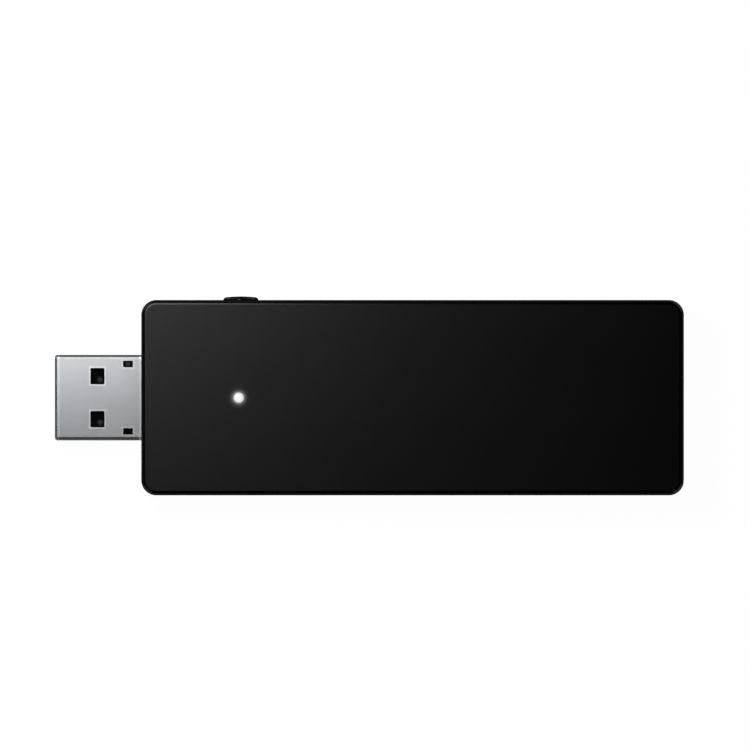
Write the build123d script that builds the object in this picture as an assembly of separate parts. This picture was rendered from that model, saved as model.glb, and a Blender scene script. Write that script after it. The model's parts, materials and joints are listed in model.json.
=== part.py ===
from build123d import *
import os

# USB wireless network adapter: a flat black two-part case with a USB type A plug at one end, a
# light pipe in the top face, a pairing button in one long side, and a radio board inside.
#
# Millimetres. The origin is the centre of the case's underside. +X runs away from the plug,
# +Y towards the pairing button and +Z up through the light pipe.

# ------------------------------------------------------------------ driving dimensions: case
case_length = 76.1
case_width = 27.4
case_height = 9.6
case_corner = 2.1  # plan radius of the four upright corners
wall = 1.5
edge_round = 0.65  # rolled edge of the top face and of the underside
parting_chamfer = 0.13  # on each cover, so the joint line shows as a fine groove
smallest_corner = 0.2
past = 1.0  # how far a cut runs past the face it opens

lip_thickness = 0.6  # the top cover's lip, which drops inside the bottom cover's wall
lip_depth = 1.2
lap_clearance = 0.1
snap_depth = 0.25
snap_length = 5.0
snap_height = 0.5
snap_drop = 0.55  # from the joint plane down to a snap's top
snap_clearance = 0.1
snap_end_inset = 9.0
snap_button_offset = 13.0
end_snap_inset = 7.5

label_length = 32.0
label_width = 16.0
label_from_back = 4.5
label_corner = 1.0
label_thickness = 0.12
label_recess = 0.2
label_gap = 0.15

# ------------------------------------------------------------------ driving dimensions: plug
shell_width = 12.0
shell_height = 4.5
shell_sheet = 0.3
shell_corner = 0.5
plug_exposed = 12.15  # from the case's front face to the mouth
plug_inside = 6.6
plug_clearance = 0.1
opening_chamfer = 0.2
lead_in_depth = 0.17  # the mouth's outer edge is coined, so that it finds its way into a socket
lead_in_length = 0.26
seam_gap = 0.08
seam_key_start = 7.6
seam_key_length = 2.2
seam_key_narrow = 0.6
seam_key_wide = 1.1

window_from_mouth = 4.98
window_length = 1.98
window_width = 2.3
window_offset = 3.02
window_corner = 0.12
latch_from_mouth = 9.56
latch_length = 1.38
latch_width = 0.93
latch_offset = 4.73
latch_clearance = 0.04
latch_sink = 0.08  # how far the lugs stay below the shell's face

tab_length = 2.0
tab_from_back = 1.2
tab_reach = 1.6
tab_leg_inset = 0.3
tab_leg_below = 0.4

insulator_clearance = 0.04
tongue_setback = 0.4
mate_gap = 1.95  # height of the hollow that takes the socket's tongue
hollow_depth = 9.2
insulator_back_inset = 0.3
window_pocket_depth = 0.65
window_pocket_margin = 0.2
tongue_chamfer = 0.35

contact_width = 1.0
contact_thickness = 0.25
contact_proud = 0.05
contact_tail_width = 0.7
contact_tail_reach = 0.5
contact_foot = 0.9
inner_contact_offset = 1.0
outer_contact_offset = 3.5
power_contact_start = 1.3
data_contact_start = 2.3

# ------------------------------------------------------------------ driving dimensions: button
button_from_front = 13.93
button_diameter = 4.9
button_clearance = 0.125
button_proud = 0.52
button_side = 0.14  # straight part of the cap that stands out of the wall
button_shoulder_rise = 0.28
button_shoulder_run = 0.55
button_shoulder_bulge = 0.08
button_travel = 0.25
button_gap = 0.05
button_flange_overhang = 1.4
button_flange_height = 3.0
button_flange_thickness = 0.6
button_foot_diameter = 2.4
button_foot_length = 0.25
button_rim_chamfer = 0.15

# ------------------------------------------------------------------ driving dimensions: light
led_from_front = 13.66
pipe_diameter = 1.3
pipe_clearance = 0.05
pipe_collar_diameter = 2.8
pipe_collar_height = 0.8
pipe_stem_diameter = 1.9
pipe_led_gap = 0.3
pipe_crown = 0.08
pipe_sink = 0.02
pipe_boss_wall = 0.8
pipe_boss_depth = 1.3
led_length = 1.6
led_width = 0.8
led_height = 0.6
led_base_height = 0.25

# ------------------------------------------------------------------ driving dimensions: board
board_thickness = 1.0
board_gap = 0.3
board_corner = 1.0
plug_notch_gap = 0.15
button_notch_gap = 0.6  # beside the button's flange
button_notch_clearance = 0.8  # behind the pressed button
pin_diameter = 1.6
pin_clearance = 0.1
pin_above_board = 0.8
pin_tip_chamfer = 0.25
post_diameter = 3.2
post_gap = 0.05
pin_edge_inset = 2.05
front_pin_from_front = 8.7
back_pin_inset = 2.3
rib_thickness = 0.8
rib_board_inset = 2.8
rib_x_from_front = (24.0, 40.0)
rib_x_from_back = (20.0,)
plug_rib_half = 4.8
plug_rib_gap = 0.05
stop_rib_overlap = 0.75

# ------------------------------------------------------------------ driving dimensions: switch
switch_axis_height = 0.8  # above the board, and so the board's depth below the case's middle
switch_width = 4.6
switch_depth = 2.9
switch_setback = 0.2  # from the notch's edge to the switch's front
switch_back_wall = 0.3
switch_cover_sheet = 0.15
switch_cover_leg = 1.1
switch_cover_drop = 1.2
plunger_width = 2.2
plunger_height = 0.9
plunger_clearance = 0.06
plunger_shoulder = 0.4
plunger_shoulder_length = 0.35
dome_depth = 0.55
dome_sheet = 0.1
dome_half_span = 1.35
dome_height = 1.0
terminal_width = 0.6
terminal_reach = 0.7
terminal_sheet = 0.2

# ------------------------------------------------------------------ driving dimensions: radio
shield_from_front = 20.0
shield_length = 22.0
shield_edge_margin = 1.85
shield_sheet = 0.2
shield_corner = 0.6
shield_frame_height = 1.6
shield_frame_lip = 0.7
lid_clearance = 0.05
lid_skirt_gap = 0.45
lid_hole_diameter = 0.9
lid_hole_pitch = 3.0
lid_hole_rows = 4
lid_hole_columns = 6
lid_slit_width = 0.4
lid_slit_pitch = 3.6
lid_slit_count = 5

radio_chip_size = 9.0
radio_chip_height = 0.85
radio_chip_from_shield = 10.5
chip_chamfer = 0.08
pin_one_diameter = 0.6
pin_one_depth = 0.06
thermal_pad_size = 7.5
crystal_size = (3.2, 2.5, 0.7)
crystal_from_shield = 3.2
crystal_y = 4.5
crystal_cap_inset = 0.3
crystal_cap_height = 0.3
front_end_size = 3.0
front_end_height = 0.75
front_end_from_shield = 18.5
front_end_y = 5.0

flash_body = (3.9, 4.9, 1.4)
flash_from_shield = 4.5
flash_lead_pitch = 1.27
flash_lead_width = 0.4
flash_lead_reach = 0.95
flash_lead_sheet = 0.2
flash_standoff = 0.1
test_socket_from_shield = 3.0
test_socket_y = 6.5
test_socket_base = 2.6
test_socket_base_height = 0.35
test_socket_ring = 2.0
test_socket_ring_wall = 0.25
test_socket_height = 1.2
test_socket_pin = 0.4

antenna_from_shield = 8.5
antenna_back_inset = 4.8
antenna_edge_inset = 0.85
antenna_width = 5.0
antenna_sheet = 0.3
antenna_headroom = 0.45
antenna_leg_width = 1.2
antenna_foot = 0.8
antenna_slot_width = 0.8
antenna_slot_start = 3.0
antenna_arm_step = 2.5  # how much shorter the inner arm is than the outer one

# ------------------------------------------------------------------ driving dimensions: power
inductor_size = (3.0, 3.0, 1.5)
inductor_from_front = 13.5
inductor_y = -7.5
inductor_cap_inset = 0.35
inductor_cap_height = 0.25
regulator_body = (1.6, 2.9, 1.0)
regulator_from_front = 17.4
regulator_y = -7.5
sot_lead_width = 0.35
sot_lead_reach = 0.5
sot_lead_sheet = 0.15
sot_lead_pitch = 0.95
sot_standoff = 0.1
tantalum_size = (2.8, 3.5, 1.9)
tantalum_from_front = 17.6
tantalum_y = -2.6
tantalum_chamfer = 0.3
surge_from_front = 10.8
fuse_size = (1.6, 3.2, 0.6)
fuse_from_front = 9.6
fuse_y = -4.6

chip_part_length = 1.0  # ceramic capacitors and resistors, seen from above
chip_part_width = 0.5
capacitor_height = 0.5
resistor_height = 0.35
capacitor_pitch = 2.0
capacitor_row_count = 5
capacitor_row_y = 5.7
resistor_pitch = 1.3
resistor_count = 6
resistor_row_y = -6.5
resistor_from_shield = 1.6
side_capacitor_count = 3
side_capacitor_from_front = 10.4
side_capacitor_y = 4.2
side_capacitor_pitch = 1.5

# ------------------------------------------------------------------ levels and limits
front = -case_length / 2
back = case_length / 2
half_width = case_width / 2
mid_z = case_height / 2  # joint plane of the covers, and the axis of plug and button
ceiling = case_height - wall
inner_front = front + wall
inner_back = back - wall
inner_half = half_width - wall

thin_wall = wall - lip_thickness - lap_clearance
lip_inset = thin_wall + lap_clearance
lip_bottom = mid_z - lip_depth
lap_floor = lip_bottom - lap_clearance

mouth = front - plug_exposed
shell_back = front + plug_inside
shell_half = shell_width / 2
shell_bottom = mid_z - shell_height / 2
shell_top = mid_z + shell_height / 2
tongue_face = shell_bottom + shell_sheet + mate_gap
insulator_back = shell_back - insulator_back_inset

board_top = mid_z - switch_axis_height
board_bottom = board_top - board_thickness
board_front = inner_front + board_gap
board_back = inner_back - board_gap
board_half = inner_half - board_gap

button_x = front + button_from_front
button_flange_outer = inner_half - button_gap
button_flange_inner = button_flange_outer - button_flange_thickness
button_foot_end = button_flange_inner - button_foot_length
plunger_tip = button_foot_end - button_gap
button_notch_y = button_foot_end - button_travel - button_notch_clearance
button_flange_half = button_diameter / 2 + button_flange_overhang

led_x = front + led_from_front
pipe_top = case_height - pipe_sink
pipe_bottom = board_top + led_height + pipe_led_gap
pipe_boss_bore = pipe_collar_diameter / 2 + pipe_clearance

switch_front = button_notch_y - switch_setback
switch_back = switch_front - switch_depth
switch_height = 2 * switch_axis_height
switch_top = board_top + switch_height

shield_front = front + shield_from_front
shield_back = shield_front + shield_length
shield_half = board_half - shield_edge_margin
shield_frame_top = board_top + shield_frame_height
lid_under = shield_frame_top + lid_clearance
lid_top = lid_under + shield_sheet
radio_chip_x = shield_front + radio_chip_from_shield

pin_y = board_half - pin_edge_inset
front_pin_x = front + front_pin_from_front
back_pin_x = board_back - back_pin_inset
pin_sites = [(x, side * pin_y) for x in (front_pin_x, back_pin_x) for side in (-1, 1)]


# ------------------------------------------------------------------ building blocks
def block(x_range, y_range, z_range):
    """A box between two values on each axis, given in either order."""
    spans = [sorted(pair) for pair in (x_range, y_range, z_range)]
    middle = [(low + high) / 2 for low, high in spans]
    return Pos(*middle) * Box(*[high - low for low, high in spans])


def centred_block(size, x, y, z):
    """A box of that size, centred on x and y, standing on z."""
    length, width, height = size
    return Pos(x, y, z + height / 2) * Box(length, width, height)


def prism(x_range, y_range, z_range, corner):
    """An upright block whose four plan corners are rounded."""
    (x0, x1), (y0, y1), (z0, z1) = x_range, y_range, z_range
    plan = RectangleRounded(x1 - x0, y1 - y0, corner)
    return extrude(Pos((x0 + x1) / 2, (y0 + y1) / 2, z0) * plan, z1 - z0)


def bar(width, height, corner, x_range, taper=0):
    """A rounded bar along X, centred on the plug's axis."""
    x0, x1 = x_range
    section = Plane.YZ.offset(x0) * Pos(0, mid_z) * RectangleRounded(width, height, corner)
    return extrude(section, x1 - x0, taper=taper)


def rod(diameter, x, y, z_range):
    """An upright cylinder between two heights."""
    z0, z1 = z_range
    return Pos(x, y, (z0 + z1) / 2) * Cylinder(diameter / 2, z1 - z0)


def side_rod(diameter, x, z, y_range):
    """A cylinder along Y between two depths."""
    y0, y1 = y_range
    return Pos(x, (y0 + y1) / 2, z) * Rot(90, 0, 0) * Cylinder(diameter / 2, y1 - y0)


def mirrored(value):
    """The same distance on both sides of the case's middle."""
    return (-value, value)


# ------------------------------------------------------------------ case
def case_block(z_range, inset=0.0):
    """The case's outline between two heights, drawn in by inset."""
    return prism(
        (front + inset, back - inset),
        mirrored(half_width - inset),
        z_range,
        max(case_corner - inset, smallest_corner),
    )


def plug_opening():
    """The cut that lets the plug's shell through the front wall, with a chamfered rim."""
    grow = 2 * plug_clearance
    hole_width, hole_height = shell_width + grow, shell_height + grow
    corner = shell_corner + plug_clearance
    hole = bar(hole_width, hole_height, corner, (front - past, inner_front + board_gap / 2))
    rim = bar(
        hole_width + 2 * opening_chamfer,
        hole_height + 2 * opening_chamfer,
        corner + opening_chamfer,
        (front, front + opening_chamfer),
        taper=45,
    )
    return hole + rim


def button_opening():
    """The round hole for the button's cap, with a chamfered rim."""
    radius = button_diameter / 2 + button_clearance
    hole = side_rod(2 * radius, button_x, mid_z, (inner_half - board_gap / 2, half_width + past))
    cone = Cone(radius, radius + button_rim_chamfer, button_rim_chamfer)
    rim = Pos(button_x, half_width - button_rim_chamfer / 2, mid_z) * Rot(-90, 0, 0) * cone
    return hole + rim


def snap_sites():
    """(x, y, turn) where a snap's outward side meets the plane of a wall's outer face."""
    first = button_x + snap_button_offset
    last = back - snap_end_inset
    sites = []
    for x in (first, (first + last) / 2, last):
        sites += [(x, half_width, 0), (x, -half_width, 180)]
    for y in mirrored(half_width - end_snap_inset):
        sites.append((back, y, -90))
    return sites


def snap_bump():
    """A snap on the lip, its outer wall plane at y 0, with a ramp below for easy closing."""
    root, tip = -lip_inset - lip_thickness / 2, -lip_inset + snap_depth
    top = mid_z - snap_drop
    profile = Polygon(
        (root, top),
        (tip, top),
        (tip, top - snap_height / 2),
        (-lip_inset, top - snap_height),
        (root, top - snap_height),
        align=None,
    )
    return extrude(Plane.YZ * profile, snap_length / 2, both=True)


def snap_pocket():
    """The pocket that a snap springs into, its outer wall plane at y 0."""
    half = snap_length / 2 + snap_clearance
    top = mid_z - snap_drop + snap_clearance
    bottom = top - snap_height - 2 * snap_clearance
    return block((-half, half), (-lip_inset, -thin_wall + snap_depth), (bottom, top))


def placed_snaps(shape):
    return [Pos(x, y, 0) * Rot(0, 0, turn) * shape for x, y, turn in snap_sites()]


def label_outline(gap):
    """The label's X and Y ranges, grown by gap."""
    end = back - label_from_back
    return (end - label_length - gap, end + gap), mirrored(label_width / 2 + gap)


def locating_post(x, y):
    """A post that carries the board, with a pin that passes through it."""
    pin_top = board_top + pin_above_board
    pin = rod(pin_diameter, x, y, (wall, pin_top))
    pin = chamfer(pin.faces().sort_by(Axis.Z)[-1].edges(), pin_tip_chamfer)
    return rod(post_diameter, x, y, (wall / 2, board_bottom)) + pin


def board_rib(x):
    half = board_half - rib_board_inset
    return block((x - rib_thickness / 2, x + rib_thickness / 2), mirrored(half), (wall / 2, board_bottom))


def plug_rib_places():
    """X ranges of the two ribs that hold the shell, clear of the front wall and the tabs."""
    first = inner_front + rib_thickness
    second = shell_back - rib_thickness
    return [(first, first + rib_thickness), (second - rib_thickness, second)]


def make_bottom_cover():
    body = case_block((0, mid_z))
    body = fillet(body.faces().sort_by(Axis.Z)[0].edges(), edge_round)
    body = chamfer(body.faces().sort_by(Axis.Z)[-1].edges(), parting_chamfer)
    body -= case_block((wall, mid_z), wall)
    body -= case_block((lap_floor, mid_z), thin_wall)
    body += [locating_post(x, y) for x, y in pin_sites]
    body += [board_rib(front + x) for x in rib_x_from_front]
    body += [board_rib(back - x) for x in rib_x_from_back]
    for x_range in plug_rib_places():
        body += block(x_range, mirrored(plug_rib_half), (wall / 2, shell_bottom - plug_rib_gap))
    body -= placed_snaps(snap_pocket())
    body -= plug_opening()
    body -= button_opening()
    x_range, y_range = label_outline(label_gap)
    body -= prism(x_range, y_range, (0, label_recess), label_corner + label_gap)
    return body


def clamp_pillar(x, y):
    """A hollow pillar that keeps the board down and takes the pin's tip."""
    bottom = board_top + post_gap
    pillar = rod(post_diameter, x, y, (bottom, ceiling + wall / 2))
    return pillar - rod(pin_diameter + 2 * pin_clearance, x, y, (bottom, ceiling))


def light_boss():
    """The socket under the top face that centres the light pipe's collar."""
    outer = 2 * (pipe_boss_bore + pipe_boss_wall)
    boss = rod(outer, led_x, 0, (ceiling - pipe_boss_depth, ceiling + wall / 2))
    return boss - rod(2 * pipe_boss_bore, led_x, 0, (ceiling - pipe_boss_depth, ceiling))


def make_top_cover():
    body = case_block((mid_z, case_height))
    body = fillet(body.faces().sort_by(Axis.Z)[-1].edges(), edge_round)
    body = chamfer(body.faces().sort_by(Axis.Z)[0].edges(), parting_chamfer)
    lip = case_block((lip_bottom, ceiling), lip_inset) - case_block((lip_bottom, ceiling), wall)
    body = body - case_block((mid_z, ceiling), wall) + lip
    body += placed_snaps(snap_bump())
    body += [clamp_pillar(x, y) for x, y in pin_sites]
    body += light_boss()
    for x_range in plug_rib_places():
        body += block(x_range, mirrored(plug_rib_half), (shell_top + plug_rib_gap, ceiling + wall / 2))
    stop_front = shell_back + plug_rib_gap
    stop_bottom = shell_top - stop_rib_overlap
    stop_x = (stop_front, stop_front + rib_thickness)
    body += block(stop_x, mirrored(plug_rib_half), (stop_bottom, ceiling + wall / 2))
    body -= plug_opening()
    body -= button_opening()
    body -= rod(pipe_diameter + 2 * pipe_clearance, led_x, 0, (ceiling - wall, case_height + past))
    return body


def make_rating_label():
    x_range, y_range = label_outline(0)
    return prism(x_range, y_range, (label_recess - label_thickness, label_recess), label_corner)


# ------------------------------------------------------------------ button and light pipe
def make_pair_button():
    """Cap with a low crown, a flange bar that keeps it in, and a foot on the switch."""
    radius = button_diameter / 2
    inner = button_flange_outer - half_width
    shoulder = (radius - button_shoulder_run, button_side + button_shoulder_rise)
    crown = TangentArc((0, button_proud), shoulder, tangent=(1, 0))
    corner = SagittaArc(shoulder, (radius, button_side), button_shoulder_bulge)
    side = Polyline((radius, button_side), (radius, inner), (0, inner), (0, button_proud))
    cap = revolve(Plane.XY * make_face(crown + corner + side), Axis.Y)
    flange = block(
        (button_x - button_flange_half, button_x + button_flange_half),
        (button_flange_inner, button_flange_outer),
        (mid_z - button_flange_height / 2, mid_z + button_flange_height / 2),
    )
    foot = side_rod(button_foot_diameter, button_x, mid_z, (button_foot_end, button_flange_inner))
    return Pos(button_x, half_width, mid_z) * cap + flange + foot


def make_light_pipe():
    """A clear pipe with a collar under the top face and a lens that gathers the lamp's light."""
    radius, collar, stem = pipe_diameter / 2, pipe_collar_diameter / 2, pipe_stem_diameter / 2
    side_top = pipe_top - pipe_crown
    collar_bottom = ceiling - pipe_collar_height
    crown = TangentArc((0, pipe_top), (radius, side_top), tangent=(1, 0))
    outside = Polyline(
        (radius, side_top),
        (radius, ceiling),
        (collar, ceiling),
        (collar, collar_bottom),
        (stem, collar_bottom),
        (stem, pipe_bottom + pipe_crown),
    )
    entry = TangentArc((0, pipe_bottom), (stem, pipe_bottom + pipe_crown), tangent=(1, 0))
    profile = make_face(crown + outside + entry + Line((0, pipe_bottom), (0, pipe_top)))
    return Pos(led_x, 0, 0) * revolve(Plane.XZ * profile, Axis.Z)


def make_indicator_led():
    base = centred_block((led_width, led_length, led_base_height), led_x, 0, board_top)
    lens_size = (led_width, led_length * 0.7, led_height - led_base_height)
    return base + centred_block(lens_size, led_x, 0, board_top + led_base_height)


# ------------------------------------------------------------------ plug
def window_cuts(z_range, margin=0.0):
    """The two square windows that the socket's springs drop into."""
    x0 = mouth + window_from_mouth - margin
    half = window_width / 2 + margin
    x_range = (x0, x0 + window_length + 2 * margin)
    centres = mirrored(window_offset)
    return [prism(x_range, (y - half, y + half), z_range, window_corner) for y in centres]


def latch_cuts(z_range, grow=0.0):
    """The two small holes near the case that hold the insulator's lugs."""
    x0 = mouth + latch_from_mouth - grow
    half = latch_width / 2 + grow
    x_range = (x0, x0 + latch_length + 2 * grow)
    return [block(x_range, (y - half, y + half), z_range) for y in mirrored(latch_offset)]


def shell_seam():
    """A hairline gap along the underside, with a dovetail key that locks the folded sheet."""
    key_start = mouth + seam_key_start
    key_end = key_start + seam_key_length
    path = Polyline(
        (mouth - past, 0),
        (key_start, 0),
        (key_start, seam_key_narrow),
        (key_start - seam_key_narrow / 2, seam_key_wide),
        (key_end + seam_key_narrow / 2, seam_key_wide),
        (key_end, seam_key_narrow),
        (key_end, 0),
        (shell_back + past, 0),
    )
    slit = Pos(0, 0, shell_bottom - shell_sheet / 2) * trace(path, seam_gap)
    return extrude(slit, 1.8 * shell_sheet)


def shell_tabs():
    """Side tabs soldered to the board, each with a leg through it."""
    x1 = shell_back - tab_from_back
    x0 = x1 - tab_length
    reach = shell_half + tab_reach
    tabs = []
    for side in (-1, 1):
        plate_y = (side * (shell_half - shell_sheet / 2), side * reach)
        tabs.append(block((x0, x1), plate_y, (board_top, board_top + shell_sheet)))
        leg_y = (side * (reach - shell_sheet), side * reach)
        leg_z = (board_bottom - tab_leg_below, board_top + shell_sheet)
        tabs.append(block((x0 + tab_leg_inset, x1 - tab_leg_inset), leg_y, leg_z))
    return tabs


def make_usb_shell():
    tube = bar(shell_width, shell_height, shell_corner, (mouth, shell_back))
    front_face = tube.faces().sort_by(Axis.X)[0]
    tube = chamfer(front_face.edges(), lead_in_depth, lead_in_length, reference=front_face)
    inside_width = shell_width - 2 * shell_sheet
    inside_height = shell_height - 2 * shell_sheet
    inside_corner = max(shell_corner - shell_sheet, smallest_corner)
    tube -= bar(inside_width, inside_height, inside_corner, (mouth - past, shell_back + past))
    upper = (mid_z, shell_top + past)
    lower = (shell_bottom - past, mid_z)
    tube -= window_cuts(upper) + window_cuts(lower) + latch_cuts(upper) + latch_cuts(lower)
    tube -= shell_seam()
    return tube + shell_tabs()


def contact_solid(y, start):
    """One stamped contact: a strip under the tongue, a bend behind it and a foot on the board."""
    top = tongue_face - contact_proud + contact_thickness
    bottom = tongue_face - contact_proud
    bend_back = shell_back + contact_tail_reach
    bend_front = bend_back - contact_thickness
    half, tail_half = contact_width / 2, contact_tail_width / 2
    strip = block((mouth + start, insulator_back), (y - half, y + half), (bottom, top))
    tail_y = (y - tail_half, y + tail_half)
    neck = block((insulator_back, bend_back), tail_y, (bottom, top))
    drop = block((bend_front, bend_back), tail_y, (board_top, top))
    foot = block((bend_front, bend_back + contact_foot), tail_y, (board_top, board_top + contact_thickness))
    return strip + neck + drop + foot


contact_places = {
    "usb_contact_power": (outer_contact_offset, power_contact_start),
    "usb_contact_data_minus": (inner_contact_offset, data_contact_start),
    "usb_contact_data_plus": (-inner_contact_offset, data_contact_start),
    "usb_contact_ground": (-outer_contact_offset, power_contact_start),
}


def make_usb_insulator():
    inset = 2 * (shell_sheet + insulator_clearance)
    block_width, block_height = shell_width - inset, shell_height - inset
    corner = max(shell_corner - shell_sheet, smallest_corner)
    whole = bar(block_width, block_height, corner, (mouth + tongue_setback, insulator_back))
    hollow = block((mouth, mouth + hollow_depth), mirrored(shell_half), (0, tongue_face))
    body = whole - hollow
    nose = body.faces().sort_by(Axis.X)[0]
    body = chamfer(nose.edges().sort_by(Axis.Z)[0], tongue_chamfer)
    inside_top = shell_top - shell_sheet
    inside_bottom = shell_bottom + shell_sheet
    pocket_z = (inside_top - window_pocket_depth, inside_top + past)
    body -= window_cuts(pocket_z, window_pocket_margin)
    lug_rise = shell_sheet - latch_sink
    body += latch_cuts((inside_top - shell_sheet, inside_top + lug_rise), -latch_clearance)
    body += latch_cuts((inside_bottom - lug_rise, inside_bottom + shell_sheet), -latch_clearance)
    for y, start in contact_places.values():
        body -= contact_solid(y, start)
    return body


# ------------------------------------------------------------------ board
def make_circuit_board():
    body = prism((board_front, board_back), mirrored(board_half), (board_bottom, board_top), board_corner)
    z_range = (board_bottom - past, board_top + past)
    plug_half = shell_half + plug_notch_gap
    body -= block((board_front - past, shell_back + plug_notch_gap), mirrored(plug_half), z_range)
    notch_half = button_flange_half + button_notch_gap
    notch_x = (button_x - notch_half, button_x + notch_half)
    body -= block(notch_x, (button_notch_y, board_half + past), z_range)
    body -= [rod(pin_diameter + 2 * pin_clearance, x, y, z_range) for x, y in pin_sites]
    x1 = shell_back - tab_from_back - tab_leg_inset
    x0 = x1 - tab_length + 2 * tab_leg_inset
    reach = shell_half + tab_reach
    gap = plug_notch_gap
    for side in (-1, 1):
        slot_y = (side * (reach - shell_sheet - gap), side * (reach + gap))
        body -= block((x0 - gap, x1 + gap), slot_y, z_range)
    return body


# ------------------------------------------------------------------ pairing switch
plunger_guide_half = plunger_width / 2 + plunger_clearance
dome_back = switch_back + switch_back_wall
dome_front = dome_back + dome_depth
shoulder_back = dome_front
shoulder_front = shoulder_back + plunger_shoulder_length


def switch_span(half):
    return (button_x - half, button_x + half)


def make_switch_body():
    """The moulding: a guide for the plunger's stem, and behind it a chamber for the dome."""
    half = switch_width / 2 - switch_cover_sheet
    body = block(
        switch_span(half), (switch_back, switch_front), (board_top, switch_top - switch_cover_sheet)
    )
    stem_half = plunger_height / 2 + plunger_clearance
    guide_z = (mid_z - stem_half, mid_z + stem_half)
    body -= block(switch_span(plunger_guide_half), (shoulder_back, switch_front + past), guide_z)
    chamber_half = dome_half_span + plunger_clearance
    chamber_z = (mid_z - dome_height / 2 - plunger_clearance, switch_top)
    chamber_y = (dome_back, shoulder_front + plunger_clearance)
    body -= block(switch_span(chamber_half), chamber_y, chamber_z)
    return body


def make_switch_plunger():
    """Stem that the button pushes, with a shoulder that can't pass the guide."""
    stem_z = (mid_z - plunger_height / 2, mid_z + plunger_height / 2)
    stem = block(switch_span(plunger_width / 2), (shoulder_back, plunger_tip), stem_z)
    stem = chamfer(stem.faces().sort_by(Axis.Y)[-1].edges(), plunger_clearance)
    half = min(plunger_width / 2 + plunger_shoulder, dome_half_span - plunger_clearance)
    return stem + block(switch_span(half), (shoulder_back, shoulder_front), stem_z)


def make_switch_dome():
    """A bowed leaf that clicks over when the plunger pushes it and then springs back."""
    tip_y = dome_front
    outer = ThreePointArc((-dome_half_span, dome_back), (0, tip_y), (dome_half_span, dome_back))
    inner = ThreePointArc(
        (-dome_half_span + dome_sheet, dome_back),
        (0, tip_y - dome_sheet),
        (dome_half_span - dome_sheet, dome_back),
    )
    left_foot = Line(outer @ 0, inner @ 0)
    right_foot = Line(inner @ 1, outer @ 1)
    leaf = extrude(make_face(outer + right_foot + inner + left_foot), dome_height)
    return Pos(button_x, 0, mid_z - dome_height / 2) * leaf


def make_switch_cover():
    """The bent steel cover that holds the switch together and is soldered down at its sides."""
    half = switch_width / 2
    cover_z = (switch_top - switch_cover_sheet, switch_top)
    cover = block(switch_span(half), (switch_back, switch_front), cover_z)
    middle = (switch_back + switch_front) / 2
    cheek_y = (middle - switch_cover_drop, middle + switch_cover_drop)
    for side in (-1, 1):
        cheek_x = (button_x + side * (half - switch_cover_sheet), button_x + side * half)
        cover += block(cheek_x, cheek_y, (board_top, switch_top))
        foot_x = (cheek_x[0], cheek_x[1] + side * terminal_reach)
        foot_y = (middle - switch_cover_leg / 2, middle + switch_cover_leg / 2)
        cover += block(foot_x, foot_y, (board_top, board_top + switch_cover_sheet))
    return cover


def make_switch_terminals():
    """Two solder tails out of the switch's back."""
    tails = []
    for side in (-1, 1):
        x = button_x + side * switch_width / 4
        tail_x = (x - terminal_width / 2, x + terminal_width / 2)
        tail_y = (switch_back - terminal_reach, switch_back)
        tails.append(block(tail_x, tail_y, (board_top, board_top + terminal_sheet)))
    return tails


# ------------------------------------------------------------------ radio section
def shield_ring(inset, z_range, corner):
    return prism(
        (shield_front + inset, shield_back - inset), mirrored(shield_half - inset), z_range, corner
    )


def make_shield_frame():
    """The soldered fence, with a flat lip round its top that stiffens it."""
    outer = shield_ring(0, (board_top, shield_frame_top), shield_corner)
    under_lip = (board_top, shield_frame_top - shield_sheet)
    outer -= shield_ring(shield_sheet, under_lip, shield_corner - shield_sheet)
    return outer - shield_ring(shield_frame_lip, (board_top, shield_frame_top), shield_corner)


def lid_vents():
    """Rows of small round vents over the lid."""
    x_middle = (shield_front + shield_back) / 2
    spots = GridLocations(lid_hole_pitch, lid_hole_pitch, lid_hole_columns, lid_hole_rows)
    vent = rod(lid_hole_diameter, 0, 0, (lid_under - past, lid_top + past))
    return [Pos(x_middle, 0, 0) * spot * vent for spot in spots]


def lid_slits():
    """Cuts in the lid's long skirts, which turn them into springy fingers."""
    x_middle = (shield_front + shield_back) / 2
    reach = shield_half + past
    half = lid_slit_width / 2
    cuts = []
    for index in range(lid_slit_count):
        x = x_middle + (index - (lid_slit_count - 1) / 2) * lid_slit_pitch
        for side in (-1, 1):
            y_range = (side * (shield_half - shield_sheet), side * reach)
            cuts.append(block((x - half, x + half), y_range, (board_top, lid_under - shield_sheet)))
    return cuts


def make_shield_lid():
    """The pressed lid that snaps over the fence."""
    skirt = lid_clearance + shield_sheet
    outer = shield_ring(-skirt, (board_top + lid_skirt_gap, lid_top), shield_corner + skirt)
    outer = fillet(outer.faces().sort_by(Axis.Z)[-1].edges(), shield_sheet * 0.9)
    inner = shield_ring(-lid_clearance, (board_top, lid_under), shield_corner + lid_clearance)
    return outer - inner - lid_vents() - lid_slits()


def chip_body(size, x, y, z, marker=True):
    """A moulded chip package with chamfered top edges and a pin one dimple."""
    body = centred_block(size, x, y, z)
    body = chamfer(body.faces().sort_by(Axis.Z)[-1].edges(), chip_chamfer)
    if marker:
        top = z + size[2]
        inset = pin_one_diameter
        dot_x, dot_y = x - size[0] / 2 + inset, y + size[1] / 2 - inset
        body -= rod(pin_one_diameter / 2, dot_x, dot_y, (top - pin_one_depth, top + past))
    return body


def make_radio_chip():
    return chip_body((radio_chip_size, radio_chip_size, radio_chip_height), radio_chip_x, 0, board_top)


def make_thermal_pad():
    """Soft pad that carries the radio chip's heat into the lid."""
    chip_top = board_top + radio_chip_height
    size = (thermal_pad_size, thermal_pad_size, lid_under - chip_top)
    return centred_block(size, radio_chip_x, 0, chip_top)


def make_front_end_chip(side):
    size = (front_end_size, front_end_size, front_end_height)
    return chip_body(size, shield_front + front_end_from_shield, side * front_end_y, board_top)


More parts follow.
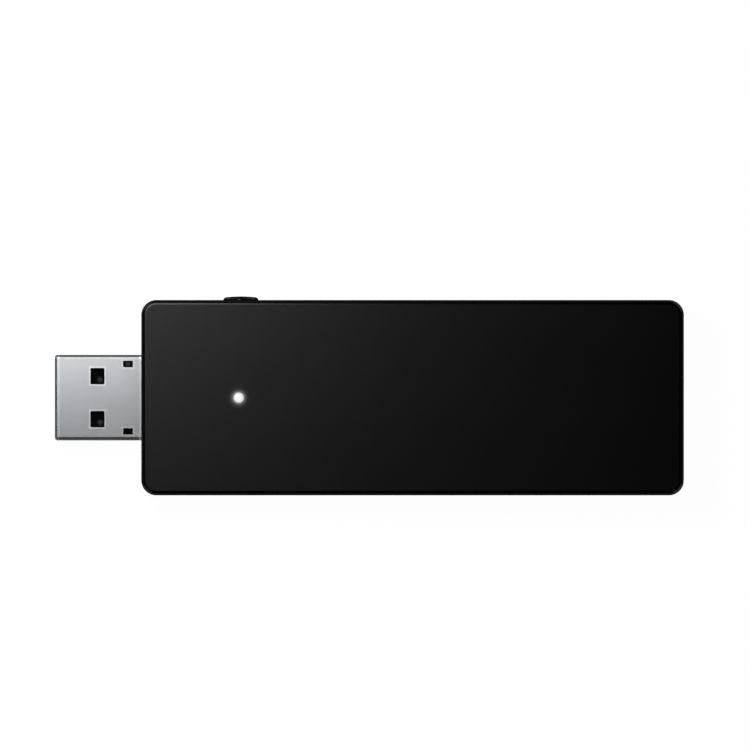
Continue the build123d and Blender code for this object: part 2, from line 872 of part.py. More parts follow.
def capped_block(size, x, y, inset, cap_height):
    """A block whose top carries a slightly smaller raised cap."""
    length, width, height = size
    base = centred_block((length, width, height - cap_height), x, y, board_top)
    cap_size = (length - 2 * inset, width - 2 * inset, cap_height)
    cap = centred_block(cap_size, x, y, board_top + height - cap_height)
    return base + fillet(cap.edges().filter_by(Axis.Z), inset)


def make_crystal():
    x = shield_front + crystal_from_shield
    return capped_block(crystal_size, x, crystal_y, crystal_cap_inset, crystal_cap_height)


def make_flash_chip():
    x = shield_back + flash_from_shield
    return chip_body(flash_body, x, 0, board_top + flash_standoff)


def gull_leads(x, y, body, body_rise, offsets, lead):
    """Gull-wing leads out of both X sides of a chip: a stub, a drop and a foot for each."""
    width, reach, sheet = lead
    stub_z = board_top + body_rise
    leads = []
    for side in (-1, 1):
        face = x + side * body[0] / 2
        knee = face + side * reach / 2
        drop_x = (knee - side * sheet, knee)
        foot_x = (knee - side * sheet, face + side * reach)
        for offset in offsets:
            y_range = (y + offset - width / 2, y + offset + width / 2)
            stub = block((face, knee), y_range, (stub_z, stub_z + sheet))
            drop = block(drop_x, y_range, (board_top, stub_z + sheet))
            leads.append(stub + drop + block(foot_x, y_range, (board_top, board_top + sheet)))
    return leads


def make_flash_chip_leads():
    offsets = [(index - 1.5) * flash_lead_pitch for index in range(4)]
    rise = flash_standoff + flash_body[2] / 2
    lead = (flash_lead_width, flash_lead_reach, flash_lead_sheet)
    return gull_leads(shield_back + flash_from_shield, 0, flash_body, rise, offsets, lead)


def make_test_socket(side):
    """A coaxial test socket: a base, a ring and a centre pin."""
    x = shield_back + test_socket_from_shield
    y = side * test_socket_y
    top = board_top + test_socket_height
    base = centred_block((test_socket_base, test_socket_base, test_socket_base_height), x, y, board_top)
    bore = test_socket_ring - 2 * test_socket_ring_wall
    bore_z = (board_top + test_socket_base_height, top)
    ring = rod(test_socket_ring, x, y, (board_top, top)) - rod(bore, x, y, bore_z)
    return base + ring + rod(test_socket_pin, x, y, (board_top, top - test_socket_ring_wall))


def make_antenna(side):
    """A stamped inverted-F antenna: a slotted plate on three legs, soldered to the board."""
    x0, x1 = shield_back + antenna_from_shield, board_back - antenna_back_inset
    outer = board_half - antenna_edge_inset
    inner = outer - antenna_width
    middle = (outer + inner) / 2
    plate_top = ceiling - antenna_headroom
    plate_z = (plate_top - antenna_sheet, plate_top)
    body = block((x0, x1), (side * inner, side * outer), plate_z)
    slot_half = antenna_slot_width / 2
    slot_y = (side * (middle - slot_half), side * (middle + slot_half))
    body -= block((x0 + antenna_slot_start, x1 + past), slot_y, (plate_z[0] - past, plate_z[1] + past))
    step_y = (side * (inner - past), side * middle)
    body -= block((x1 - antenna_arm_step, x1 + past), step_y, (board_top, case_height))
    leg_z = (board_top, plate_top)
    foot_z = (board_top, board_top + antenna_sheet)
    for y in (inner, outer - antenna_leg_width):
        y_range = (side * y, side * (y + antenna_leg_width))
        body += block((x0, x0 + antenna_sheet), y_range, leg_z)
        body += block((x0 - antenna_foot, x0 + antenna_sheet), y_range, foot_z)
    y_range = (side * (outer - antenna_leg_width), side * outer)
    body += block((x1 - antenna_sheet, x1), y_range, leg_z)
    body += block((x1 - antenna_sheet, x1 + antenna_foot), y_range, foot_z)
    return body


# ------------------------------------------------------------------ power section
def make_power_inductor():
    x = front + inductor_from_front
    return capped_block(inductor_size, x, inductor_y, inductor_cap_inset, inductor_cap_height)


def sot_body(x, y):
    return chip_body(regulator_body, x, y, board_top + sot_standoff)


def sot_leads(x, y):
    offsets = [index * sot_lead_pitch for index in (-1, 0, 1)]
    rise = sot_standoff + regulator_body[2] / 2
    lead = (sot_lead_width, sot_lead_reach, sot_lead_sheet)
    return gull_leads(x, y, regulator_body, rise, offsets, lead)


def make_voltage_regulator():
    return sot_body(front + regulator_from_front, regulator_y)


def make_surge_protector():
    return sot_body(front + surge_from_front, 0)


def make_small_chip_leads():
    """Leads of the regulator and of the surge protector."""
    return sot_leads(front + regulator_from_front, regulator_y) + sot_leads(front + surge_from_front, 0)


def make_tantalum_capacitor():
    body = centred_block(tantalum_size, front + tantalum_from_front, tantalum_y, board_top)
    return chamfer(body.faces().sort_by(Axis.Z)[-1].edges().filter_by(Axis.X), tantalum_chamfer)


def make_usb_fuse():
    return centred_block(fuse_size, front + fuse_from_front, fuse_y, board_top)


def make_ceramic_capacitors():
    """Rows beside the radio chip, and a few beside the plug."""
    size = (chip_part_length, chip_part_width, capacitor_height)
    parts = []
    for index in range(capacitor_row_count):
        x = radio_chip_x + (index - (capacitor_row_count - 1) / 2) * capacitor_pitch
        parts += [centred_block(size, x, y, board_top) for y in mirrored(capacitor_row_y)]
    for index in range(side_capacitor_count):
        y = side_capacitor_y + index * side_capacitor_pitch
        parts.append(centred_block(size, front + side_capacitor_from_front, y, board_top))
    return parts


def make_chip_resistors():
    size = (chip_part_width, chip_part_length, resistor_height)
    first = shield_front + resistor_from_shield
    places = [first + index * resistor_pitch for index in range(resistor_count)]
    return [centred_block(size, x, resistor_row_y, board_top) for x in places]


# ------------------------------------------------------------------ the assembly
assembly = {
    "top_cover": make_top_cover(),
    "bottom_cover": make_bottom_cover(),
    "rating_label": make_rating_label(),
    "pair_button": make_pair_button(),
    "light_pipe": make_light_pipe(),
    "usb_shell": make_usb_shell(),
    "usb_insulator": make_usb_insulator(),
    "circuit_board": make_circuit_board(),
    "indicator_led": make_indicator_led(),
    "switch_body": make_switch_body(),
    "switch_plunger": make_switch_plunger(),
    "switch_dome": make_switch_dome(),
    "switch_cover": make_switch_cover(),
    "switch_terminals": make_switch_terminals(),
    "shield_frame": make_shield_frame(),
    "shield_lid": make_shield_lid(),
    "radio_chip": make_radio_chip(),
    "thermal_pad": make_thermal_pad(),
    "front_end_chip_a": make_front_end_chip(1),
    "front_end_chip_b": make_front_end_chip(-1),
    "crystal": make_crystal(),
    "flash_chip": make_flash_chip(),
    "flash_chip_leads": make_flash_chip_leads(),
    "test_socket_a": make_test_socket(1),
    "test_socket_b": make_test_socket(-1),
    "antenna_a": make_antenna(1),
    "antenna_b": make_antenna(-1),
    "power_inductor": make_power_inductor(),
    "voltage_regulator": make_voltage_regulator(),
    "surge_protector": make_surge_protector(),
    "small_chip_leads": make_small_chip_leads(),
    "tantalum_capacitor": make_tantalum_capacitor(),
    "usb_fuse": make_usb_fuse(),
    "ceramic_capacitors": make_ceramic_capacitors(),
    "chip_resistors": make_chip_resistors(),
}
for name, (offset, start) in contact_places.items():
    assembly[name] = contact_solid(offset, start)

os.makedirs("parts", exist_ok=True)
for name, shape in assembly.items():
    solids = shape if isinstance(shape, list) else [shape]
    export_step(Compound([solid for item in solids for solid in item.solids()]), f"parts/{name}.step")
print(len(assembly), "sub-parts written")
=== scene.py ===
# %% [markdown]
# # A USB wireless adapter
#
# The object is a flat black plastic stick with a steel plug at one end, a lit point in its top
# face and a small button in one long edge. Its solids were designed and packed beforehand, in
# metres, with +X away from the plug, +Y towards the button and +Z up. This file gives them
# their finishes, adds the small soldered and printed details, and sets up the studio.

import json
import math

import bmesh
import bpy
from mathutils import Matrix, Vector


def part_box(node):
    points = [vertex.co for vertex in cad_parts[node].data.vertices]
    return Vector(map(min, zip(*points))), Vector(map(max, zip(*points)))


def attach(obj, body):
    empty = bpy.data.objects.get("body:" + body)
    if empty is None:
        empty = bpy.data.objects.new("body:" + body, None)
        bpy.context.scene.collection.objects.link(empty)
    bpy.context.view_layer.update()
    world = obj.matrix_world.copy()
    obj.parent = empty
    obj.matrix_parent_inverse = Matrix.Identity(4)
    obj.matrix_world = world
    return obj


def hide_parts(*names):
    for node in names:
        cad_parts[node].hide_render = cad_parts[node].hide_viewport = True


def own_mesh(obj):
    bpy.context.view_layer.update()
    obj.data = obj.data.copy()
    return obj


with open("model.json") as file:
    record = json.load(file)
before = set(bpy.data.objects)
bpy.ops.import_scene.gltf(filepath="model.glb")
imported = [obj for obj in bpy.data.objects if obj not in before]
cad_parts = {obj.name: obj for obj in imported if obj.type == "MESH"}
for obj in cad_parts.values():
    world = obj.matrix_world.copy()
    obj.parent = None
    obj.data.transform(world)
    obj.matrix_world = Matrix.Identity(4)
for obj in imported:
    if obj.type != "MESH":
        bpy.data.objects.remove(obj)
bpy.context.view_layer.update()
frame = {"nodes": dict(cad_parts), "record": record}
MM = 0.001

# %% [markdown]
# ## Where things are
#
# Every place in this file comes from the solids themselves, so a finish stays on its feature
# when the design changes. Shader maths is easier to read in millimetres, so the boxes are
# turned into millimetres here, once.


# %% Measure the solids
def box_mm(node):
    """Lowest and highest corner of a solid, in millimetres."""
    low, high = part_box(node)
    return low / MM, high / MM


case_low, case_high = box_mm("bottom_cover")[0], box_mm("top_cover")[1]
shell_low = box_mm("usb_shell")[0]
shell_points = [vertex.co / MM for vertex in frame["nodes"]["usb_shell"].data.vertices]
plug_side = max(point.y for point in shell_points if point.x < case_low.x)
board_low, board_high = box_mm("circuit_board")
lamp_low, lamp_high = box_mm("indicator_led")
lamp_centre = (lamp_low + lamp_high) / 2
print("case", [round(side, 2) for side in case_high - case_low])
print("mouth at x", round(shell_low.x, 2), "plug", round(2 * plug_side, 2), "wide")

# %% [markdown]
# ## The camera
#
# The adapter is seen from straight above, as in a catalogue. A very long lens from two metres
# away keeps the upright sides of the case out of sight, almost as a parallel view would, and
# it is still a plain perspective camera that works from every other side. The picture's
# middle lies a little towards the plug and the button, which leaves room for the plug.

# %% Set up the camera
picture_width = 105.15 * MM
picture_middle = Vector((-5.27, 3.18, 0)) * MM
camera_height = 2.0

camera_data = bpy.data.cameras.new("catalogue_camera")
camera_data.lens = camera_data.sensor_width * (camera_height - case_high.z * MM) / picture_width
camera_data.clip_start = 0.01
camera = bpy.data.objects.new("catalogue_camera", camera_data)
camera.location = picture_middle + Vector((0, 0, camera_height))
bpy.context.scene.collection.objects.link(camera)
bpy.context.scene.camera = camera
print("lens", round(camera_data.lens), "mm")

# %% [markdown]
# ## The soft boxes
#
# Black plastic shows nothing but reflections, so its look is made by what hangs around it.
# Soft boxes hang close above the plug's end, on the button's side, and their reflection
# fades across the top face. They are area lights rather than lamps with a small bulb, because
# a satin face blurs a broad light into the long even fade that a real light tent gives. The
# small low box brightens the near corner, where the big box alone would be too even.


# %% Hang the soft boxes
def hang_box(name, place, size, brightness, aim=(-20, 0, 0)):
    """Hangs an area light, placed and sized in millimetres, that the camera doesn't see."""
    light = bpy.data.lights.new(name, "AREA")
    light.shape = "RECTANGLE"
    light.size, light.size_y = (side * MM for side in size)
    light.energy = brightness * math.pi * light.size * light.size_y
    box = bpy.data.objects.new(name, light)
    box.location = Vector(place) * MM
    box.rotation_euler = (Vector(aim) * MM - box.location).to_track_quat("-Z", "Y").to_euler()
    box.visible_camera = False
    bpy.context.scene.collection.objects.link(box)


hang_box("key_box", place=(-60, 40, 165), size=(60, 60), brightness=2.35)
hang_box("broad_box", place=(-70, 70, 165), size=(100, 80), brightness=0.92)
hang_box("low_box", place=(-50, 50, 90), size=(50, 40), brightness=2.2, aim=(-30, 0, 0))
print(len(bpy.data.lights), "soft boxes")

# %% [markdown]
# ## The white table
#
# The table and the space behind it are pale, but neither is mirrored in the object, as when a
# photographer hides the table from black plastic with dark cards. That is what leaves a crisp
# dark line round the case. The table glows a little by itself, like a light table, so the
# object's shadow stays faint.

# %% Lay the table and hang the surround
table_half_width = 3.0
table_gap = 0.02 * MM
table_mesh = bpy.data.meshes.new("white_table")
corners = [(-1, -1), (1, -1), (1, 1), (-1, 1)]
table_corners = [(x * table_half_width, y * table_half_width, -table_gap) for x, y in corners]
table_mesh.from_pydata(table_corners, [], [(0, 1, 2, 3)])
white_table = bpy.data.objects.new("white_table", table_mesh)
bpy.context.scene.collection.objects.link(white_table)
white_table.visible_glossy = False

surround = bpy.data.worlds.new("pale_surround")
bpy.context.scene.world = surround
surround.use_nodes = True
surround.node_tree.nodes["Background"].inputs["Color"].default_value = (1, 1, 1, 1)
surround.cycles_visibility.glossy = False
surround.cycles_visibility.diffuse = False
bpy.context.scene.view_settings.view_transform = "Standard"
print("table", 2 * table_half_width, "m wide, under a pale surround")

# %% [markdown]
# ## The dim room
#
# With nothing at all to mirror, the sides of the case would be a black hole. A very large
# ball of dim grey stands in for the room and for the cards on the table. Only reflections see
# it. It is a smooth sphere because a flat wall would show its own corners in the steel.

# %% Build the room
room_radius = 6.0
room_mesh = bpy.data.meshes.new("dim_room")
room_shape = bmesh.new()
bmesh.ops.create_icosphere(room_shape, subdivisions=4, radius=room_radius)
room_shape.to_mesh(room_mesh)
room_shape.free()
dim_room = bpy.data.objects.new("dim_room", room_mesh)
bpy.context.scene.collection.objects.link(dim_room)
for kind in ("camera", "diffuse", "transmission", "shadow"):
    setattr(dim_room, "visible_" + kind, False)
print("room of", len(room_mesh.polygons), "faces")

# %% [markdown]
# ## Writing a finish as sums
#
# A finish is a recipe such as "a little rougher where the grain is high". Written with node
# calls alone, the recipe is hard to see, so a Term wraps one socket and lets Python's own
# signs add the Math nodes: 1 - mask, or 0.3 + 0.1 * grain. Colours are never added this way,
# because a Math node would turn them grey. They go through the Mix node in blend().


# %% A socket that can be added and multiplied
class Term:
    """One number or colour in a finish. Arithmetic on it adds Math nodes."""

    def __init__(self, finish, socket):
        self.finish = finish
        self.socket = socket

    def math(self, operation, first, second=0.0):
        return self.finish.node("ShaderNodeMath", {"operation": operation}, {0: first, 1: second})

    def __add__(self, other):
        return self.math("ADD", self, other)

    def __sub__(self, other):
        return self.math("SUBTRACT", self, other)

    def __rsub__(self, other):
        return self.math("SUBTRACT", other, self)

    def __mul__(self, other):
        return self.math("MULTIPLY", self, other)

    def __truediv__(self, other):
        return self.math("DIVIDE", self, other)

    def __mod__(self, other):
        return self.math("FLOORED_MODULO", self, other)

    def __pow__(self, other):
        return self.math("POWER", self, other)

    def __rpow__(self, other):
        return self.math("POWER", other, self)

    def __abs__(self):
        return self.math("ABSOLUTE", self)

    __radd__ = __add__
    __rmul__ = __mul__


print("signs that add nodes: + - * / % ** abs")

# %% [markdown]
# ## Masks and blends
#
# Most finishes say where something happens, such as on a rim or above a height. That is a
# mask: a number that is 0 outside and 1 inside, with a short soft slope between, so that no
# edge looks cut with scissors. These helpers make masks from other numbers, and blend() uses
# one to go from a first colour to a second.


# %% Masks from numbers
class Masks:
    """Ways to turn one number into a mask, and a mask into a colour."""

    def blend(self, mask, first, second):
        """A colour that goes from first to second as the mask goes from 0 to 1."""
        values = {0: mask, 6: first, 7: second}
        return self.node("ShaderNodeMix", {"data_type": "RGBA"}, values, output=2)

    def larger(self, first, second):
        return self.node("ShaderNodeMath", {"operation": "MAXIMUM"}, {0: first, 1: second})

    def smaller(self, first, second):
        return self.node("ShaderNodeMath", {"operation": "MINIMUM"}, {0: first, 1: second})

    def rise(self, value, start, end):
        """0 before start, 1 after end, and an S-shaped slope between them."""
        values = {"Value": value, "From Min": start, "From Max": end}
        return self.node("ShaderNodeMapRange", {"interpolation_type": "SMOOTHSTEP"}, values)

    def between(self, value, low, high, soft):
        """1 from low to high, falling to 0 over the soft distance outside them."""
        return self.rise(value, low - soft, low) * (1 - self.rise(value, high, high + soft))

    def line(self, value, half):
        """1 where the value is near 0, on a line that is half a width to each side."""
        return 1 - self.rise(abs(value), 0.5 * half, 1.5 * half)


print("masks:", [name for name in vars(Masks) if name[0] != "_"])

# %% [markdown]
# ## Distances in plan
#
# Nearly everything on the adapter is laid out in plan, seen from above, so a mask often starts
# as a distance in X and Y alone: from a point, outside a punched hole, or outside the case's
# own rounded outline. The plug's holes come in pairs, so one rectangle serves both sides.


# %% Distances from features
class Distances:
    """Distances in plan, in millimetres, negative inside a shape."""

    def distance(self, x, y):
        """Distance from an upright line through (x, y)."""
        across, along = self.x - x, self.y - y
        return (across * across + along * along) ** 0.5

    def beyond(self, middle, half):
        """Distance outside a rectangle and its mirror image on the -Y side."""
        across, along = abs(self.x - middle[0]), abs(abs(self.y) - middle[1])
        return self.larger(across - half[0], along - half[1])

    def outside(self, low, high):
        """Distance outside the rectangle of a solid's box."""
        middle, half = (low + high) / 2, (high - low) / 2
        return self.larger(abs(self.x - middle.x) - half.x, abs(self.y - middle.y) - half.y)

    def outline(self, half, corner):
        """Distance outside a rounded rectangle round the origin."""
        x = self.larger(abs(self.x) - (half[0] - corner), 0.0)
        y = self.larger(abs(self.y) - (half[1] - corner), 0.0)
        return (x * x + y * y) ** 0.5 - corner


print("distances:", [name for name in vars(Distances) if name[0] != "_"])

# %% [markdown]
# ## Grain, crystals and relief
#
# No real surface is even. Noise gives soft lumps for grain, and cells with straight borders
# give crystals and blocks. Both are measured in millimetres of the object itself, so that a
# grain of a tenth of a millimetre stays that size on every piece. Relief turns a height into a
# tilt of the surface, which is enough for bumps that are too fine to model.


# %% Grain, crystals and relief
class Textures:
    """Uneven numbers over the surface, and the bumps made from them."""

    def vector(self, operation, values):
        return self.node("ShaderNodeVectorMath", {"operation": operation}, values)

    def grain(self, size, detail=2.0, shift=0.0):
        """Soft lumps from 0 to 1, about size across. Three sizes stretch them."""
        sizes = size if isinstance(size, tuple) else (size, size, size)
        place = self.vector("ADD", {0: self.place, 1: (shift, shift, shift)})
        place = self.vector("DIVIDE", {0: place, 1: sizes})
        values = {"Vector": place, "Scale": 1.0, "Detail": detail}
        return self.node("ShaderNodeTexNoise", values=values)

    def cells(self, size, feature="F1", output="Distance"):
        """Cells about size across, as in spangle or a patchwork."""
        place = self.vector("SCALE", {0: self.place, "Scale": 1 / size})
        values = {"Vector": place, "Scale": 1.0}
        return self.node("ShaderNodeTexVoronoi", {"feature": feature}, values, output)

    def cell_number(self, size, channel):
        """A number from 0 to 1 that is the same all over one cell."""
        colour = self.cells(size, output="Color")
        return self.node("ShaderNodeSeparateColor", values={0: colour}, output=channel)

    def relief(self, height, depth):
        """The normal of a surface whose bumps are depth millimetres high."""
        values = {"Height": height, "Distance": depth * MM, "Strength": 1.0}
        return self.node("ShaderNodeBump", values=values, output="Normal")


print("textures:", [name for name in vars(Textures) if name[0] != "_"])

# %% [markdown]
# ## A finish in the making
#
# A Finish holds one material while its recipe is written. It starts with the place on the
# object, in millimetres, and its x, y and z. One method adds any node, and set() hands the
# results to the shader. Finished materials are kept by the slot that they belong to.


# %% The finish itself
class Finish(Masks, Distances, Textures):
    """A material in the making, whose textures are placed in the object's own millimetres."""

    def __init__(self, name):
        self.material = bpy.data.materials.new(name)
        self.material.use_nodes = True
        self.tree = self.material.node_tree
        self.shader = self.tree.nodes["Principled BSDF"]
        metres = self.node("ShaderNodeTexCoord", output="Object")
        self.place = self.vector("SCALE", {0: metres, "Scale": 1 / MM})
        split = self.node("ShaderNodeSeparateXYZ", values={0: self.place}).socket.node
        self.x, self.y, self.z = (Term(self, output) for output in split.outputs)

    def node(self, kind, settings=None, values=None, output=0):
        """Adds a node, with its settings first and its sockets next, and gives one output."""
        made = self.tree.nodes.new(kind)
        for name, setting in (settings or {}).items():
            setattr(made, name, setting)
        for name, value in (values or {}).items():
            self.feed(made.inputs[name], value)
        return Term(self, made.outputs[output])

    def feed(self, socket, value):
        """Links a term to a socket, or sets the socket's own value."""
        if isinstance(value, Term):
            self.tree.links.new(value.socket, socket)
        elif socket.type == "RGBA":
            socket.default_value = (*value, 1)
        else:
            socket.default_value = value

    def set(self, **values):
        """Sets the shader's sockets, written with _ for the space in their names."""
        for name, value in values.items():
            self.feed(self.shader.inputs[name.replace("_", " ")], value)
        return self.material


def grey(value):
    return (value, value, value)


finishes = {}


def keep(slot, material):
    """Keeps a finished material for the solids of a slot."""
    finishes[slot] = material
    print(slot, "has", len(material.node_tree.nodes), "nodes")


print("a finish offers", [name for name in dir(Finish) if name[0] != "_"])

# %% [markdown]
# ## The table's finish
#
# A light table is a sheet of white acrylic lit from below: mostly its own even glow, plus a
# little light that falls on it from above.


# %% White table
table_glow = 0.98


def white_acrylic():
    finish = Finish("white_acrylic")
    mottle = finish.grain(400.0)
    return finish.set(
        Base_Color=finish.blend(mottle, grey(0.13), grey(0.16)),
        Roughness=0.9,
        Emission_Color=grey(1.0),
        Emission_Strength=table_glow,
    )


keep("white_acrylic", white_acrylic())
white_table.data.materials.append(finishes["white_acrylic"])

# %% [markdown]
# ## The room's finish
#
# The room is dark overhead and right below, so that the top face and the outline round it keep
# their black. Straight edges of the case mirror only what stands square to them, so four pale
# cards can stand in the corners of the room, where they light the adapter for a slanting view
# and leave the view from above alone. A narrow pale band along the horizon does the same for a
# view from the side. Heights in the room are sines of the angle above the horizon.

# %% Dim room
floor_start, floor_end = -0.72, -0.45
horizon_start, horizon_end = -0.10, 0.02
overhead_start, overhead_end = 0.0, 0.62
below_grey, above_grey = 0.06, 0.06
band_low, band_high, band_soft, band_grey = -0.20, 0.08, 0.08, 0.26
card_low, card_high, card_soft, card_grey = -0.56, 0.56, 0.12, 0.48
card_edge, card_middle = 0.45, 0.95  # 1 on the diagonals, 0 on the axes


def room_paint():
    finish = Finish("room_paint")
    height = finish.z / (room_radius / MM)
    across = finish.x * finish.x + finish.y * finish.y
    diagonal = 2.0 * abs(finish.x * finish.y) / across
    cards = finish.rise(diagonal, card_edge, card_middle)
    cards = cards * finish.between(height, card_low, card_high, card_soft)
    band = finish.between(height, band_low, band_high, band_soft)
    overhead = finish.rise(height, overhead_start, overhead_end)
    upper = finish.blend(overhead, grey(above_grey), grey(0.0))
    lower = finish.blend(finish.rise(height, floor_start, floor_end), grey(0.0), grey(below_grey))
    walls = finish.blend(finish.rise(height, horizon_start, horizon_end), lower, upper)
    walls = finish.blend(band, walls, grey(band_grey))
    return finish.set(
        Base_Color=grey(0.0),
        Specular_IOR_Level=0.0,
        Emission_Color=finish.blend(cards, walls, grey(card_grey)),
        Emission_Strength=1.0,
    )


keep("room_paint", room_paint())
dim_room.data.materials.append(finishes["room_paint"])

# %% [markdown]
# ## Black case plastic
#
# The two covers are moulded in a spark-eroded steel tool, which leaves grain finer than a
# tenth of a millimetre. Too fine to see as bumps, the grain turns a mirror into satin, so it
# appears both as a roughness and as a bump a few thousandths of a millimetre deep. A broad
# mottle in the roughness is the melt's flow. The rolled edges get handled and polished, so
# they are smoother, which draws a thin light line inside the dark outline. Round the light
# guide the thin plastic lets some light through: the glow halves with every glow_step.
# The top face and the sides are shaded and lit copies of one resin: the top is painted deep
# black as painted shade, and the sides are painted a little greyer as painted light.


# %% Case plastic
glow_start, glow_step, glow_strength = 0.62, 0.125, 0.50
glow_low, glow_high = 0.6, 0.1  # below the top face
# depths below the top face over which the painted shade of the top fades in
shaded_top_low, shaded_top_high = 1.15, 0.75
case_corner = 2.1
edge_inner, edge_outer, edge_polish = 0.80, 0.45, 0.16  # inside the outline


def case_plastic():
    finish = Finish("case_plastic")
    fine, coarse = finish.grain(0.11), finish.grain(0.6)
    flow = finish.grain((26.0, 9.0, 9.0), detail=3.0)
    outline = finish.outline((case_high.x, case_high.y), case_corner)
    edge = finish.rise(outline, -edge_inner, -edge_outer)
    from_lamp = finish.distance(lamp_centre.x, lamp_centre.y)
    glow = glow_strength * 0.5 ** ((from_lamp - glow_start) / glow_step)
    glow = finish.smaller(glow, 1.0)
    glow = glow * finish.rise(finish.z, case_high.z - glow_low, case_high.z - glow_high)
    # painted shade on the top face and painted light on the sides: one resin in two tones
    upper = finish.rise(finish.z, case_high.z - shaded_top_low, case_high.z - shaded_top_high)
    shaded_top_resin = finish.blend(coarse, (0.0008, 0.0008, 0.0009), (0.0015, 0.0015, 0.0017))
    lit_side_resin = finish.blend(coarse, (0.014, 0.014, 0.0145), (0.020, 0.020, 0.0207))
    return finish.set(
        Base_Color=finish.blend(upper, lit_side_resin, shaded_top_resin),
        Roughness=0.335 + 0.05 * flow + 0.03 * fine - edge_polish * edge,
        Normal=finish.relief(0.7 * fine + 0.3 * coarse, 0.0016),
        Emission_Color=finish.blend(glow, grey(0.0), grey(1.0)),
        Emission_Strength=1.0,
    )


keep("case_plastic", case_plastic())

# %% [markdown]
# ## Button
#
# The button is the same resin from a polished tool, so it has a clearer highlight and only a
# trace of grain. The grain's bumps are a quarter as deep as those of the case.


# %% Button plastic
def button_plastic():
    finish = Finish("button_plastic")
    fine, wear = finish.grain(0.2), finish.grain(1.4)
    return finish.set(
        Base_Color=finish.blend(wear, (0.0010, 0.0010, 0.0011), (0.0019, 0.0019, 0.0021)),
        Roughness=0.12 + 0.05 * wear,
        Specular_IOR_Level=0.4,
        Normal=finish.relief(fine, 0.0004),
    )


keep("button_plastic", button_plastic())

# %% [markdown]
# ## Light guide
#
# The light guide is clear polycarbonate. Its head is lit from below, so it is shown as a white
# glow that is strongest in the middle, over a glossy surface.


# %% Light guide
pipe_low, pipe_high = box_mm("light_pipe")
head_radius = (pipe_high.x - pipe_low.x) / 4  # the collar below is twice as wide
dim_start, dim_end = 0.45, 1.25  # in head radii


def light_guide():
    finish = Finish("light_guide")
    from_middle = finish.distance(lamp_centre.x, lamp_centre.y) / head_radius
    dim = finish.rise(from_middle, dim_start, dim_end)
    return finish.set(
        Base_Color=finish.blend(finish.grain(0.3), grey(0.32), grey(0.40)),
        Roughness=0.20,
        Emission_Color=finish.blend(dim, (0.84, 0.83, 0.85), (0.46, 0.46, 0.50)),
        Emission_Strength=1.0,
    )


keep("light_guide", light_guide())

# %% [markdown]
# ## Plug steel
#
# The plug's shell is folded from thin rolled steel and plated with nickel. Rolling leaves
# faint lines along the plug. The punch leaves the rims of the windows and of the small latch
# holes a little smoother, and they are painted white as well, a painted highlight, so those
# rims are brighter than the face. The masks measure how far a point lies outside each hole,
# and the rim fades with it. A punched rim is rounded, too finely to model, and so it catches
# light from everywhere: a faint glow of its own stands for that. Two more painted highlights
# run across the face as bright lines, where the mouth is coined and where the case begins.
# The folded corners are rougher, and their colour is painted duller as painted shade. The
# face is painted lighter from the mouth's end towards the case, painted light that evens out
# the soft boxes' fall-off along the plug.


# %% Plug steel
window_place, window_half = (shell_low.x + 5.97, 3.02), (0.99, 1.15)
latch_place, latch_half = (shell_low.x + 10.25, 4.73), (0.69, 0.465)
rim_width, rim_glint = 0.32, 0.14
# places of the two painted highlight lines across the shell, at the coined mouth and the case
mouth_line, case_line, line_half = shell_low.x + 0.55, case_low.x - 0.22, 0.09
fold_start, fold_end = 0.58, 0.42  # from the plug's side
# painted shade: the colour of the folded corners
shaded_fold_grey = 0.50


def rim_highlights(finish):
    """1 on the painted highlights: the rims of the holes and the two lines across the shell."""
    windows = finish.beyond(window_place, window_half)
    latches = finish.beyond(latch_place, latch_half)
    rim = 1 - finish.rise(finish.smaller(windows, latches), 0.0, rim_width)
    for place, share in ((mouth_line, 0.4), (case_line, 0.9)):
        rim = finish.larger(rim, share * finish.line(finish.x - place, line_half))
    return rim


def plug_steel():
    finish = Finish("plug_steel")
    rolled = finish.grain((6.0, 0.06, 0.06), detail=3.0)
    streaks = finish.grain((18.0, 0.5, 0.5), detail=2.0, shift=7.0)
    smudge = finish.grain(3.5, detail=3.0, shift=3.0)
    # painted highlight: the rims of the holes and the two lines are painted white
    rim = rim_highlights(finish)
    shaded_fold = finish.rise(abs(finish.y), plug_side - fold_start, plug_side - fold_end)
    # painted light: the face grows lighter from the mouth's end towards the case
    painted_light_to_case = finish.rise(finish.x, shell_low.x, case_low.x)
    lines = 0.5 * rolled + 0.5 * streaks
    mouth_end_face = finish.blend(lines, (0.66, 0.68, 0.71), (0.77, 0.78, 0.80))
    case_end_face = finish.blend(lines, (0.84, 0.86, 0.89), (0.93, 0.94, 0.96))
    face = finish.blend(painted_light_to_case, mouth_end_face, case_end_face)
    # painted shade on the folded corners
    face = finish.blend(shaded_fold, face, grey(shaded_fold_grey))
    return finish.set(
        Base_Color=finish.blend(rim, face, grey(1.0)),
        Metallic=1.0,
        Roughness=0.215 + 0.04 * rolled + 0.03 * smudge - 0.04 * rim + 0.16 * shaded_fold,
        Normal=finish.relief(0.6 * rolled + 0.4 * streaks, 0.0004),
        Emission_Color=finish.blend(rim, grey(0.0), grey(rim_glint)),
        Emission_Strength=1.0,
    )


keep("plug_steel", plug_steel())

# %% [markdown]
# ## Inside the plug
#
# The tongue that carries the contacts is moulded in black nylon full of short glass fibres,
# which show as fine pale flecks. Small grey patches are painted on it, under the windows and
# on one lug: painted light, where the soft boxes reach the tongue through the holes. The
# tongue hardly shines, because the steel shades it.


# %% Plug plastic
fleck_start, fleck_end = 0.62, 0.75
# painted light: size of the grey patches where the tongue is lit through the holes
lit_patch_core, lit_patch_radius = 0.10, 0.52
lit_patch_places = (
    (window_place[0] + 0.34, window_place[1] - 0.50),
    (window_place[0] + 0.36, -window_place[1] - 0.45),
    latch_place,
)


